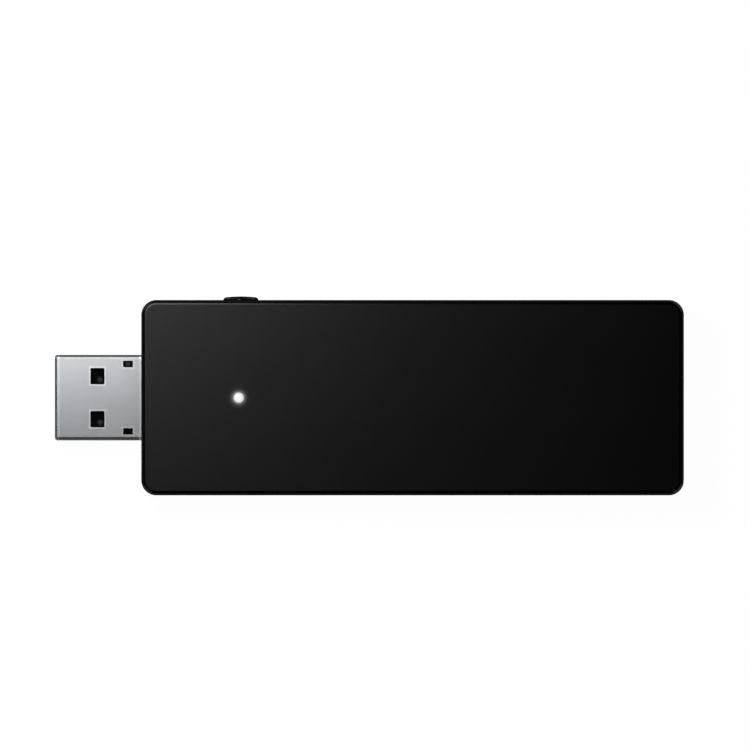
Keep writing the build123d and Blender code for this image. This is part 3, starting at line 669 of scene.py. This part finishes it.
def plug_plastic():
    finish = Finish("plug_plastic")
    fibres = finish.grain((0.5, 0.06, 0.06), detail=1.0)
    fleck = finish.rise(fibres, fleck_start, fleck_end)
    # painted light in the windows and on one lug, as grey patches
    lit_patch = 0.0
    for x, y in lit_patch_places:
        here = 1 - finish.rise(finish.distance(x, y), lit_patch_core, lit_patch_radius)
        lit_patch = finish.larger(here, lit_patch)
    resin = finish.blend(fleck, (0.0012, 0.0012, 0.0014), (0.006, 0.006, 0.0065))
    return finish.set(
        Base_Color=finish.blend(lit_patch, resin, (0.085, 0.088, 0.090)),
        Roughness=0.60 + 0.15 * fleck,
        Specular_IOR_Level=0.08,
        Normal=finish.relief(fibres, 0.002),
    )


keep("plug_plastic", plug_plastic())

# %% [markdown]
# ## Plug contacts
#
# The contacts are bronze, plated with gold where the socket wipes along them, and tinned at
# the foot that is soldered to the board.


# %% Contact gold
foot_start, foot_end = 1.4, 1.1  # from the contact's inner end
contact_high = box_mm("usb_contact_power")[1]


def contact_gold():
    finish = Finish("contact_gold")
    wiped = finish.grain((4.0, 0.08, 0.08))
    tinned = finish.rise(finish.x, contact_high.x - foot_start, contact_high.x - foot_end)
    gold = finish.blend(wiped, (0.90, 0.66, 0.28), (0.98, 0.78, 0.40))
    return finish.set(
        Base_Color=finish.blend(tinned, gold, (0.74, 0.74, 0.73)),
        Metallic=1.0,
        Roughness=0.18 + 0.1 * wiped + 0.15 * tinned,
        Normal=finish.relief(wiped, 0.0006),
    )


keep("contact_gold", contact_gold())

# %% [markdown]
# ## Circuit board
#
# A board is a glass-cloth laminate with copper tracks, covered by a thin coloured lacquer,
# the solder mask. Through the lacquer the copper shows lighter than the bare laminate. Real
# tracks run in parallel groups at right angles, so here two sets of stripes are switched on
# and off in blocks. A ground pour covers the rest, stitched with small plated holes, and the
# cut edges show the raw laminate. A white legend frames the places of the larger parts.


# %% Tracks, holes and legend
track_pitch, track_share, track_block = 0.42, 0.5, 3.1
via_pitch, via_radius = 2.3, 0.22
lacquer_soft = 0.02
legend_gap, legend_width = 0.35, 0.12
framed_parts = ("crystal", "flash_chip", "power_inductor", "tantalum_capacitor", "switch_body")


def below(finish, value, limit):
    """1 where the value is below the limit, with the lacquer's soft edge."""
    return 1 - finish.rise(value, limit - lacquer_soft, limit + lacquer_soft)


def tracks(finish, across):
    """1 on parallel bands that fill a share of the pitch."""
    centred = abs((across % track_pitch) - track_pitch / 2)
    return below(finish, centred, 0.5 * track_share * track_pitch)


def plated_holes(finish):
    """Rings of bare metal on a square grid, and the holes inside them, painted dark as painted
    shade.
    """
    x = (finish.x % via_pitch) - via_pitch / 2
    y = (finish.y % via_pitch) - via_pitch / 2
    radius = (x * x + y * y) ** 0.5
    return below(finish, radius, via_radius), below(finish, radius, 0.5 * via_radius)


def legend(finish):
    """1 on the white lines printed round the larger parts."""
    printed = 0.0
    for node in framed_parts:
        away = abs(finish.outside(*box_mm(node)) - legend_gap)
        line = 1 - finish.rise(away, 0.5 * legend_width, legend_width)
        printed = finish.larger(line, printed)
    return printed


print("legend round", len(framed_parts), "parts, a hole every", via_pitch, "mm")

# %% [markdown]
# ## The board's layers
#
# The board's colour is built up as the real one is: first the bare glass cloth, then copper
# under lacquer, bare rings, holes painted dark as painted shade and the printed legend, and
# at last the raw cut edge.
# Each block of the patchwork has a number of its own, which decides between pour, tracks along
# X and tracks along Y.


# %% Board laminate
pour_share, track_x_share, share_soft = 0.33, 0.67, 0.01
pour_gap, pour_soft = 0.05, 0.01
face_start, face_end = 0.44, 0.48  # from the board's middle height


def board_laminate():
    finish = Finish("board_laminate")
    pick = finish.cell_number(track_block, "Red")
    tracked = finish.rise(pick, pour_share - share_soft, pour_share + share_soft)
    along_y = finish.rise(pick, track_x_share - share_soft, track_x_share + share_soft)
    copper = finish.larger(
        tracked * (1 - along_y) * tracks(finish, finish.y),
        along_y * tracks(finish, finish.x),
    )
    from_gap = finish.cells(track_block, "DISTANCE_TO_EDGE") - pour_gap
    copper = finish.larger(copper, (1 - tracked) * finish.rise(from_gap, -pour_soft, pour_soft))
    weave = finish.grain((0.5, 0.12, 0.5)) * 0.5 + finish.grain((0.12, 0.5, 0.5)) * 0.5
    ring, hole = plated_holes(finish)
    ring = ring * (1 - tracked)
    bare = finish.blend(weave, (0.008, 0.055, 0.026), (0.014, 0.085, 0.040))
    lacquer = finish.blend(copper, bare, (0.020, 0.160, 0.070))
    plated = finish.blend(ring, lacquer, (0.85, 0.66, 0.34))
    # painted shade: the holes are painted near black instead of being cut
    top = finish.blend(hole * ring, plated, (0.01, 0.01, 0.01))
    top = finish.blend(legend(finish), top, grey(0.78))
    from_middle = abs(finish.z - (board_low.z + board_high.z) / 2)
    up = finish.rise(from_middle, face_start, face_end)
    edge = finish.blend(weave, (0.30, 0.26, 0.12), (0.46, 0.41, 0.22))
    return finish.set(
        Base_Color=finish.blend(up, edge, top),
        Roughness=0.62 - 0.34 * up + 0.1 * weave,
        Metallic=ring * (1 - hole) * up,
        Normal=finish.relief(copper * up + 0.2 * weave - 2.0 * hole * ring, 0.03),
    )


keep("board_laminate", board_laminate())

# %% [markdown]
# ## Plated sheet metal
#
# The shield, the switch's cover, the leads and the antennas are all thin plated sheet, and
# differ in colour, in how far the plating grew into crystals, and in how clearly the rolling
# lines show through. One recipe takes those as values. Tin grows spangle, cells a fraction of
# a millimetre wide that mirror a little differently, while nickel stays even.


# %% Plated sheet
rolling = (3.0, 0.08, 0.08)
plating_depth = 0.0012
tarnish_start, tarnish_end, tarnish_shade = 0.45, 0.8, 0.72


def plated_sheet(name, dark, bright, roughness, spangle, lines=rolling):
    """Sheet metal with rolling lines, and plating crystals spangle millimetres wide."""
    finish = Finish(name)
    rolled = finish.grain(lines, detail=3.0)
    crystal = finish.cell_number(spangle, "Green")
    patches = finish.grain(2.2, detail=4.0, shift=5.0)
    tarnish = finish.rise(patches, tarnish_start, tarnish_end)
    face = finish.blend(0.6 * rolled + 0.4 * crystal, dark, bright)
    stained = tuple(tarnish_shade * channel for channel in dark)
    return finish.set(
        Base_Color=finish.blend(0.5 * tarnish, face, stained),
        Metallic=1.0,
        Roughness=roughness - 0.05 + 0.12 * crystal + 0.1 * tarnish,
        Normal=finish.relief(0.7 * rolled + 0.3 * crystal, plating_depth),
    )


sheet_metals = {  # dark and bright colour, roughness, spangle
    "spring_steel": ((0.56, 0.55, 0.52), (0.70, 0.69, 0.66), 0.24, 0.9),
    "switch_steel": ((0.62, 0.63, 0.64), (0.76, 0.77, 0.78), 0.30, 0.5),
    "solder_tin": ((0.60, 0.61, 0.62), (0.78, 0.79, 0.80), 0.34, 0.25),
    "shield_steel": ((0.60, 0.60, 0.58), (0.77, 0.77, 0.75), 0.31, 1.3),
    "crystal_can": ((0.66, 0.65, 0.61), (0.78, 0.77, 0.73), 0.24, 0.6),
    "antenna_metal": ((0.66, 0.62, 0.52), (0.80, 0.76, 0.66), 0.27, 0.8),
    "socket_gold": ((0.82, 0.60, 0.26), (0.95, 0.74, 0.38), 0.22, 0.4),
}
for slot, values in sheet_metals.items():
    keep(slot, plated_sheet(slot, *values))

# %% [markdown]
# ## Moulded and sintered small parts
#
# Chips are moulded in black epoxy full of glass beads, ferrite and ceramic are pressed
# powders, and the soft pad is silicone full of ceramic dust. All of them are one base with a
# speckle in it, from fine and dark to coarse and pale, so one recipe serves with its own
# values for each. A chip also has a round dimple beside its first pin, much deeper than its
# speckle, which is pressed into the same height.


# %% Speckled bodies
marked_chips = ("radio_chip", "flash_chip", "front_end_chip_a", "front_end_chip_b")
mark_inset, mark_radius, mark_soft, mark_depth = 0.75, 0.28, 0.04, 0.05
speck_start, speck_end = 0.545, 0.695


def first_pins(finish):
    """1 in the round dimples beside the first pins of the chips."""
    dimples = 0.0
    for node in marked_chips:
        low, high = box_mm(node)
        away = finish.distance(low.x + mark_inset, high.y - mark_inset) - mark_radius
        dimples = finish.larger(1 - finish.rise(away, -mark_soft, mark_soft), dimples)
    return dimples


def speckled_body(name, base, speck, speck_size, roughness, depth, dimples=None):
    """A dull body with specks of another colour, and dimples where their function says."""
    finish = Finish(name)
    specks = finish.grain(speck_size, detail=3.0)
    shown = finish.rise(specks, speck_start, speck_end)
    drift = finish.grain(3.0, shift=9.0)
    paler = tuple(1.35 * channel for channel in base)
    height = specks - mark_depth / depth * dimples(finish) if dimples else specks
    return finish.set(
        Base_Color=finish.blend(shown, finish.blend(drift, base, paler), speck),
        Roughness=roughness + 0.12 * specks + 0.06 * drift,
        Normal=finish.relief(height, depth),
    )


small_bodies = {  # base and speck colour, speck size, roughness, depth
    "switch_plastic": ((0.012, 0.012, 0.013), (0.03, 0.03, 0.032), 0.12, 0.42, 0.002),
    "plunger_plastic": ((0.62, 0.61, 0.56), (0.74, 0.73, 0.69), 0.25, 0.36, 0.001),
    "thermal_rubber": ((0.20, 0.25, 0.33), (0.42, 0.46, 0.52), 0.12, 0.66, 0.006),
    "inductor_ferrite": ((0.030, 0.030, 0.034), (0.09, 0.09, 0.10), 0.09, 0.58, 0.005),
    "fuse_laminate": ((0.03, 0.13, 0.07), (0.07, 0.22, 0.12), 0.15, 0.42, 0.002),
    "capacitor_ceramic": ((0.34, 0.22, 0.12), (0.46, 0.32, 0.19), 0.07, 0.40, 0.002),
    "resistor_ceramic": ((0.010, 0.010, 0.012), (0.05, 0.05, 0.06), 0.05, 0.30, 0.001),
    "lamp_lens": ((0.80, 0.80, 0.70), (0.92, 0.90, 0.66), 0.15, 0.28, 0.001),
    "chip_epoxy": ((0.014, 0.014, 0.016), (0.045, 0.045, 0.05), 0.06, 0.50, 0.002, first_pins),
}
for slot, values in small_bodies.items():
    keep(slot, speckled_body(slot, *values))

# %% [markdown]
# ## Amber capacitor
#
# A tantalum capacitor is cast in amber epoxy, and a dark bar printed at one end marks its
# positive side.


# %% Amber capacitor
bar_share, bar_soft = 0.22, 0.03


def tantalum_shell():
    finish = Finish("tantalum_shell")
    low, high = box_mm("tantalum_capacitor")
    specks = finish.grain(0.09, detail=3.0)
    bar_start = high.y - bar_share * (high.y - low.y)
    bar = finish.rise(finish.y, bar_start - bar_soft, bar_start + bar_soft)
    amber = finish.blend(specks, (0.62, 0.25, 0.025), (0.80, 0.38, 0.05))
    return finish.set(
        Base_Color=finish.blend(bar, amber, (0.16, 0.045, 0.010)),
        Roughness=0.34 + 0.14 * specks,
        Normal=finish.relief(specks, 0.002),
    )


keep("tantalum_shell", tantalum_shell())

# %% [markdown]
# ## The blank label
#
# The label on the underside is silver polyester film. It is printed only with a thin frame
# and a few plain rules that mark out empty fields, because anything written on it would
# belong to a particular maker. The print is a mask measured in from the film's own edges.


# %% Label film
frame_inset = 0.8
rule_width, rule_soft = 0.14, 0.03
rule_places = (0.30, 0.52, 0.74)  # shares of the way from -Y to +Y


def ruled(finish, away):
    """1 on a printed line, away from whose middle the distance is measured."""
    return 1 - finish.rise(abs(away), 0.5 * rule_width, 0.5 * rule_width + rule_soft)


def label_film():
    finish = Finish("label_film")
    low, high = box_mm("rating_label")
    inside = 0.0 - finish.outside(low, high)
    ink = ruled(finish, inside - frame_inset)
    ruled_area = finish.rise(inside, 2 * frame_inset, 2 * frame_inset + rule_soft)
    for share in rule_places:
        rule = ruled(finish, finish.y - (low.y + share * (high.y - low.y)))
        ink = finish.larger(ink, rule * ruled_area)
    drawn = finish.grain((0.05, 5.0, 5.0), detail=3.0)
    film = finish.blend(drawn, (0.50, 0.51, 0.52), (0.62, 0.63, 0.64))
    return finish.set(
        Base_Color=finish.blend(ink, film, grey(0.02)),
        Metallic=0.85 - 0.85 * ink,
        Roughness=0.36 + 0.1 * drawn + 0.1 * ink,
        Normal=finish.relief(drawn, 0.0006),
    )


keep("label_film", label_film())

# %% [markdown]
# ## Give each solid its finish
#
# The packed record says which slot each solid belongs to, and the solids of a slot share one
# material, as the parts share one sheet or one resin.

# %% Assign the finishes
for part in frame["record"]["subparts"]:
    solid_slots = frame["nodes"][part["node"]].data.materials
    solid_slots.clear()
    solid_slots.append(finishes[part["material_slot"]])
used = {part["material_slot"] for part in frame["record"]["subparts"]}
print(len(used), "finishes on", len(frame["nodes"]), "solids")

# %% [markdown]
# ## Solids one by one
#
# A node can hold several separate solids, such as a row of capacitors, and a solid can stand
# on the board in several places. The small soldered details go to those places, so they are
# read from the packed meshes: first the separate solids, then the points of each that touch
# the board, gathered into feet.


# %% Find the solids and their feet
foot_reach, foot_tolerance = 2.1, 0.02


def span(points):
    """Lowest and highest corner of some points."""
    return [Vector(pick(p[axis] for p in points) for axis in range(3)) for pick in (min, max)]


def separate_solids(node):
    """The points of each separate solid in a node, in millimetres."""
    shape = bmesh.new()
    shape.from_mesh(frame["nodes"][node].data)
    solids, seen = [], set()
    for seed in shape.verts:
        if seed in seen:
            continue
        seen.add(seed)
        solid = [seed]
        for vertex in solid:
            joined = [edge.other_vert(vertex) for edge in vertex.link_edges]
            fresh = [other for other in joined if other not in seen]
            seen.update(fresh)
            solid.extend(fresh)
        solids.append([vertex.co / MM for vertex in solid])
    shape.free()
    return solids


def close(point, group):
    return any((point - other).length < foot_reach for other in group)


def feet(node):
    """The boxes where a node's solids stand on the board."""
    boxes = []
    for points in separate_solids(node):
        groups = []
        for point in points:
            if abs(point.z - board_high.z) > foot_tolerance:
                continue
            near = [group for group in groups if close(point, group)]
            groups = [group for group in groups if group not in near]
            groups.append([point] + [other for group in near for other in group])
        boxes.extend(span(group) for group in groups)
    return boxes


bricks = {
    node: [span(points) for points in separate_solids(node)]
    for node in ("ceramic_capacitors", "chip_resistors", "usb_fuse")
}
print({node: len(boxes) for node, boxes in bricks.items()})

# %% [markdown]
# ## Small pieces that aren't packed
#
# The small metal details are drawn in millimetres, and those of one sort become one smooth
# piece that rides on the case. Boxes get rounded edges, since no dipped or folded metal has a
# knife edge.


# %% Boxes and pieces
sharp_angle = math.radians(50)


def rounded_box(shape, low, high, rounding):
    """Adds a box whose edges are rounded in two steps."""
    made = bmesh.ops.create_cube(shape, size=1.0)["verts"]
    middle, size = (low + high) / 2, high - low
    for vertex in made:
        vertex.co = Vector(middle[axis] + vertex.co[axis] * size[axis] for axis in range(3))
    edges = list({edge for vertex in made for edge in vertex.link_edges})
    bmesh.ops.bevel(shape, geom=edges, offset=rounding, segments=2, profile=0.5, affect="EDGES")


def ends(low, high, axis, share):
    """The two end boxes of a box along an axis."""
    length = share * (high[axis] - low[axis])
    near_high, far_low = high.copy(), low.copy()
    near_high[axis] = low[axis] + length
    far_low[axis] = high[axis] - length
    return (low, near_high), (far_low, high)


def add_piece(name, shape, finish):
    """Turns a shape in millimetres into a smooth piece that rides on the case."""
    bmesh.ops.scale(shape, vec=(MM, MM, MM), verts=shape.verts)
    bmesh.ops.recalc_face_normals(shape, faces=shape.faces)
    mesh = bpy.data.meshes.new(name)
    shape.to_mesh(mesh)
    shape.free()
    mesh.shade_smooth()
    mesh.set_sharp_from_angle(angle=sharp_angle)
    mesh.materials.append(finish)
    piece = bpy.data.objects.new(name, mesh)
    bpy.context.scene.collection.objects.link(piece)
    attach(piece, "case")
    print(name, len(mesh.polygons), "faces")
    return piece


print("edges over", round(math.degrees(sharp_angle)), "degrees stay crisp")

# %% [markdown]
# ## Tinned ends
#
# The ends of a small ceramic brick are dipped in metal, which wraps round the end as a thin
# cap with soft corners, a little proud of the ceramic. The places of the caps are remembered,
# because each of them is soldered down later.

# %% Cap the bricks
cap_share, cap_proud, cap_round = 0.24, 0.02, 0.045
proud = Vector((cap_proud, cap_proud, cap_proud))
cap_places = []
for node, boxes in bricks.items():
    shape = bmesh.new()
    for low, high in boxes:
        axis = 0 if high.x - low.x > high.y - low.y else 1
        for end_low, end_high in ends(low, high, axis, cap_share):
            rounded_box(shape, end_low - proud, end_high + proud, cap_round)
            cap_places.append((end_low, end_high))
    add_piece(node + "_tin", shape, finishes["solder_tin"])

# %% [markdown]
# ## Folded straps
#
# The amber capacitor and the inductor are too large to dip. A strap of tinned sheet comes out
# of each end, folds down along it and turns under the part.

# %% Strap the larger parts
strap_share, strap_width, strap_height, strap_proud = 0.12, 0.62, 0.55, 0.09
strapped_parts = (("tantalum_capacitor", 1), ("power_inductor", 0))  # the axis they lie along
shape = bmesh.new()
for node, axis in strapped_parts:
    across = 1 - axis
    low, high = box_mm(node)
    for end_low, end_high in ends(low, high, axis, strap_share):
        middle = (low[across] + high[across]) / 2
        half = strap_width * (high[across] - low[across]) / 2
        end_low, end_high = end_low.copy(), end_high.copy()
        end_low[across], end_high[across] = middle - half, middle + half
        end_low[axis] -= strap_proud
        end_high[axis] += strap_proud
        end_high.z = low.z + strap_height * (high.z - low.z)
        rounded_box(shape, end_low, end_high, cap_round)
        cap_places.append((end_low, end_high))
add_piece("end_straps", shape, finishes["solder_tin"])

# %% [markdown]
# ## Solder
#
# Melted solder wets a foot and its pad and is pulled into a hollow slope: high against the
# metal, and thin at the pad's edge. Each joint is a stack of rounded rings round the foot,
# whose height falls with the square of the distance from it. Fresh solder is brighter and
# smoother than dipped tin, and has no rolling lines.


# %% A solder slope
slope_steps, corner_steps = 5, 5
slope_gap = 0.005
fresh_solder = plated_sheet(
    "fresh_solder", (0.70, 0.71, 0.72), (0.85, 0.86, 0.87), 0.17, 0.7, lines=(0.5, 0.5, 0.5)
)


def ring(low, high, offset, height):
    """A rounded outline that lies offset outside a foot, at that height above the board."""
    points = []
    for corner in range(4):
        x = high.x if corner in (0, 3) else low.x
        y = high.y if corner in (0, 1) else low.y
        for step in range(corner_steps):
            angle = math.pi / 2 * (corner + step / (corner_steps - 1))
            across, along = offset * math.cos(angle), offset * math.sin(angle)
            points.append(Vector((x + across, y + along, board_high.z + height)))
    return points


def join_rows(shape, first, second):
    """Adds the faces between two rows of points."""
    for here, there, far, near in zip(first, second, second[1:], first[1:]):
        shape.faces.new((here, there, far, near))


def solder_slope(shape, low, high, spread, climb):
    """Adds solder that climbs a foot and thins out to the edge of its pad."""
    rings = []
    for step in range(slope_steps + 1):
        share = step / slope_steps
        points = ring(low, high, slope_gap + spread * share, climb * (1 - share) ** 2)
        rings.append([shape.verts.new(point) for point in points])
    for inner, outer in zip(rings, rings[1:]):
        join_rows(shape, inner + inner[:1], outer + outer[:1])
    shape.faces.new(rings[0])
    shape.faces.new(reversed(rings[-1]))


print("a slope has", slope_steps * 4 * corner_steps + 2, "faces")

# %% [markdown]
# ## Feet, caps and straps
#
# Through pins and the plug's wide tabs carry more solder than a chip's leads do, so they
# spread and climb further. At a cap or strap the solder climbs a share of its height.

# %% Solder the feet and ends
soldered_feet = {  # spread over the board, and climb up the foot
    "flash_chip_leads": (0.13, 0.12),
    "small_chip_leads": (0.13, 0.12),
    "switch_terminals": (0.16, 0.14),
    "switch_cover": (0.18, 0.16),
    "usb_contact_power": (0.18, 0.22),
    "usb_contact_data_minus": (0.18, 0.22),
    "usb_contact_data_plus": (0.18, 0.22),
    "usb_contact_ground": (0.18, 0.22),
    "usb_shell": (0.26, 0.22),
    "antenna_a": (0.20, 0.20),
    "antenna_b": (0.20, 0.20),
}
end_spread, end_climb = 0.18, 0.55

shape = bmesh.new()
for node, (spread, climb) in soldered_feet.items():
    for low, high in feet(node):
        solder_slope(shape, low, high, spread, climb)
add_piece("lead_solder", shape, fresh_solder)

shape = bmesh.new()
for low, high in cap_places:
    solder_slope(shape, low, high, end_spread, end_climb * (high.z - low.z))
add_piece("end_solder", shape, fresh_solder)

# %% [markdown]
# ## Beads along the shield
#
# The shield's frame is soldered along its whole foot, but the paste is printed in dashes so
# that gas can escape, which leaves a row of short beads against each wall. The rows are
# measured from the frame's own box, and stop short of its corners.

# %% Solder the shield
bead_length, bead_pitch, bead_depth = 1.5, 2.2, 0.2
bead_spread, bead_climb = 0.22, 0.3
frame_low, frame_high = box_mm("shield_frame")
shape = bmesh.new()
for axis in (0, 1):
    across = 1 - axis
    length = frame_high[axis] - frame_low[axis]
    count = int((length - bead_pitch) / bead_pitch)
    first = (frame_low[axis] + frame_high[axis] - (count - 1) * bead_pitch) / 2
    for wall in (frame_low[across], frame_high[across] - bead_depth):
        for step in range(count):
            low, high = frame_low.copy(), frame_high.copy()
            low[axis] = first + step * bead_pitch - bead_length / 2
            high[axis] = low[axis] + bead_length
            low[across], high[across] = wall, wall + bead_depth
            solder_slope(shape, low, high, bead_spread, bead_climb)
add_piece("shield_solder", shape, fresh_solder)

# %% [markdown]
# ## The snap leaf
#
# Behind the button's plunger a bowed leaf of spring steel clicks as it flattens. The packed
# leaf is stiff, so a finer one stands for it here: two arcs with a sheet's thickness between
# them, a pressed dimple where the plunger meets it, and rounded ends.


# %% Bow the leaf
leaf_low, leaf_high = box_mm("switch_dome")
leaf_middle, leaf_half = (leaf_low + leaf_high) / 2, (leaf_high - leaf_low) / 2
leaf_height = leaf_high.y - leaf_low.y
leaf_sheet, leaf_taper = 0.1, 0.2
leaf_steps, leaf_rows = 24, 8
dimple_radius, dimple_depth = 0.32, 0.04


def bow(x, half, height):
    """Height at x of the arc through two feet, half apart from the middle, and a top."""
    radius = (half * half + height * height) / (2 * height)
    return math.sqrt(radius * radius - x * x) - (radius - height)


def leaf_side(shape, inset):
    """Adds the points of one side of the leaf, in rows across it."""
    side = []
    for step in range(leaf_steps + 1):
        along = 2 * step / leaf_steps - 1
        x = along * (leaf_half.x - inset)
        width = leaf_half.z * (1 - leaf_taper * along ** 6)
        row = []
        for line in range(leaf_rows + 1):
            z = width * (2 * line / leaf_rows - 1)
            dent = dimple_depth * math.exp(-(x * x + z * z) / dimple_radius ** 2)
            y = leaf_low.y + bow(x, leaf_half.x - inset, leaf_height - inset) - dent
            row.append(shape.verts.new((leaf_middle.x + x, y, leaf_middle.z + z)))
        side.append(row)
    return side


shape = bmesh.new()
outer, inner = leaf_side(shape, 0.0), leaf_side(shape, leaf_sheet)
for side in (outer, inner):
    for near, far in zip(side, side[1:]):
        join_rows(shape, near, far)
for line in (0, leaf_rows):
    join_rows(shape, [row[line] for row in outer], [row[line] for row in inner])
for end in (0, leaf_steps):
    join_rows(shape, outer[end], inner[end])
snap_leaf = add_piece("snap_leaf", shape, finishes["spring_steel"])
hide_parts("switch_dome")

# %% [markdown]
# ## The leaf's travel
#
# The leaf's travel is the plunger's own travel and a hair more, and the leaf gets a mesh of
# its own. The leaf itself is not squashed here.

# %% Work out the leaf's travel
leaf_clearance = 0.01
joints = {joint["name"]: joint for joint in frame["record"]["behaviour"]["joints"]}
leaf_travel = joints["plunger_press"]["range_m"][1] / MM + leaf_clearance
1 - leaf_travel / leaf_height
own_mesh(snap_leaf)
print("leaf", round(leaf_height, 3), "high, pressed by", round(leaf_travel, 3))

# %% [markdown]
# ## The designed size
#
# The added pieces have to stay inside the designed size.
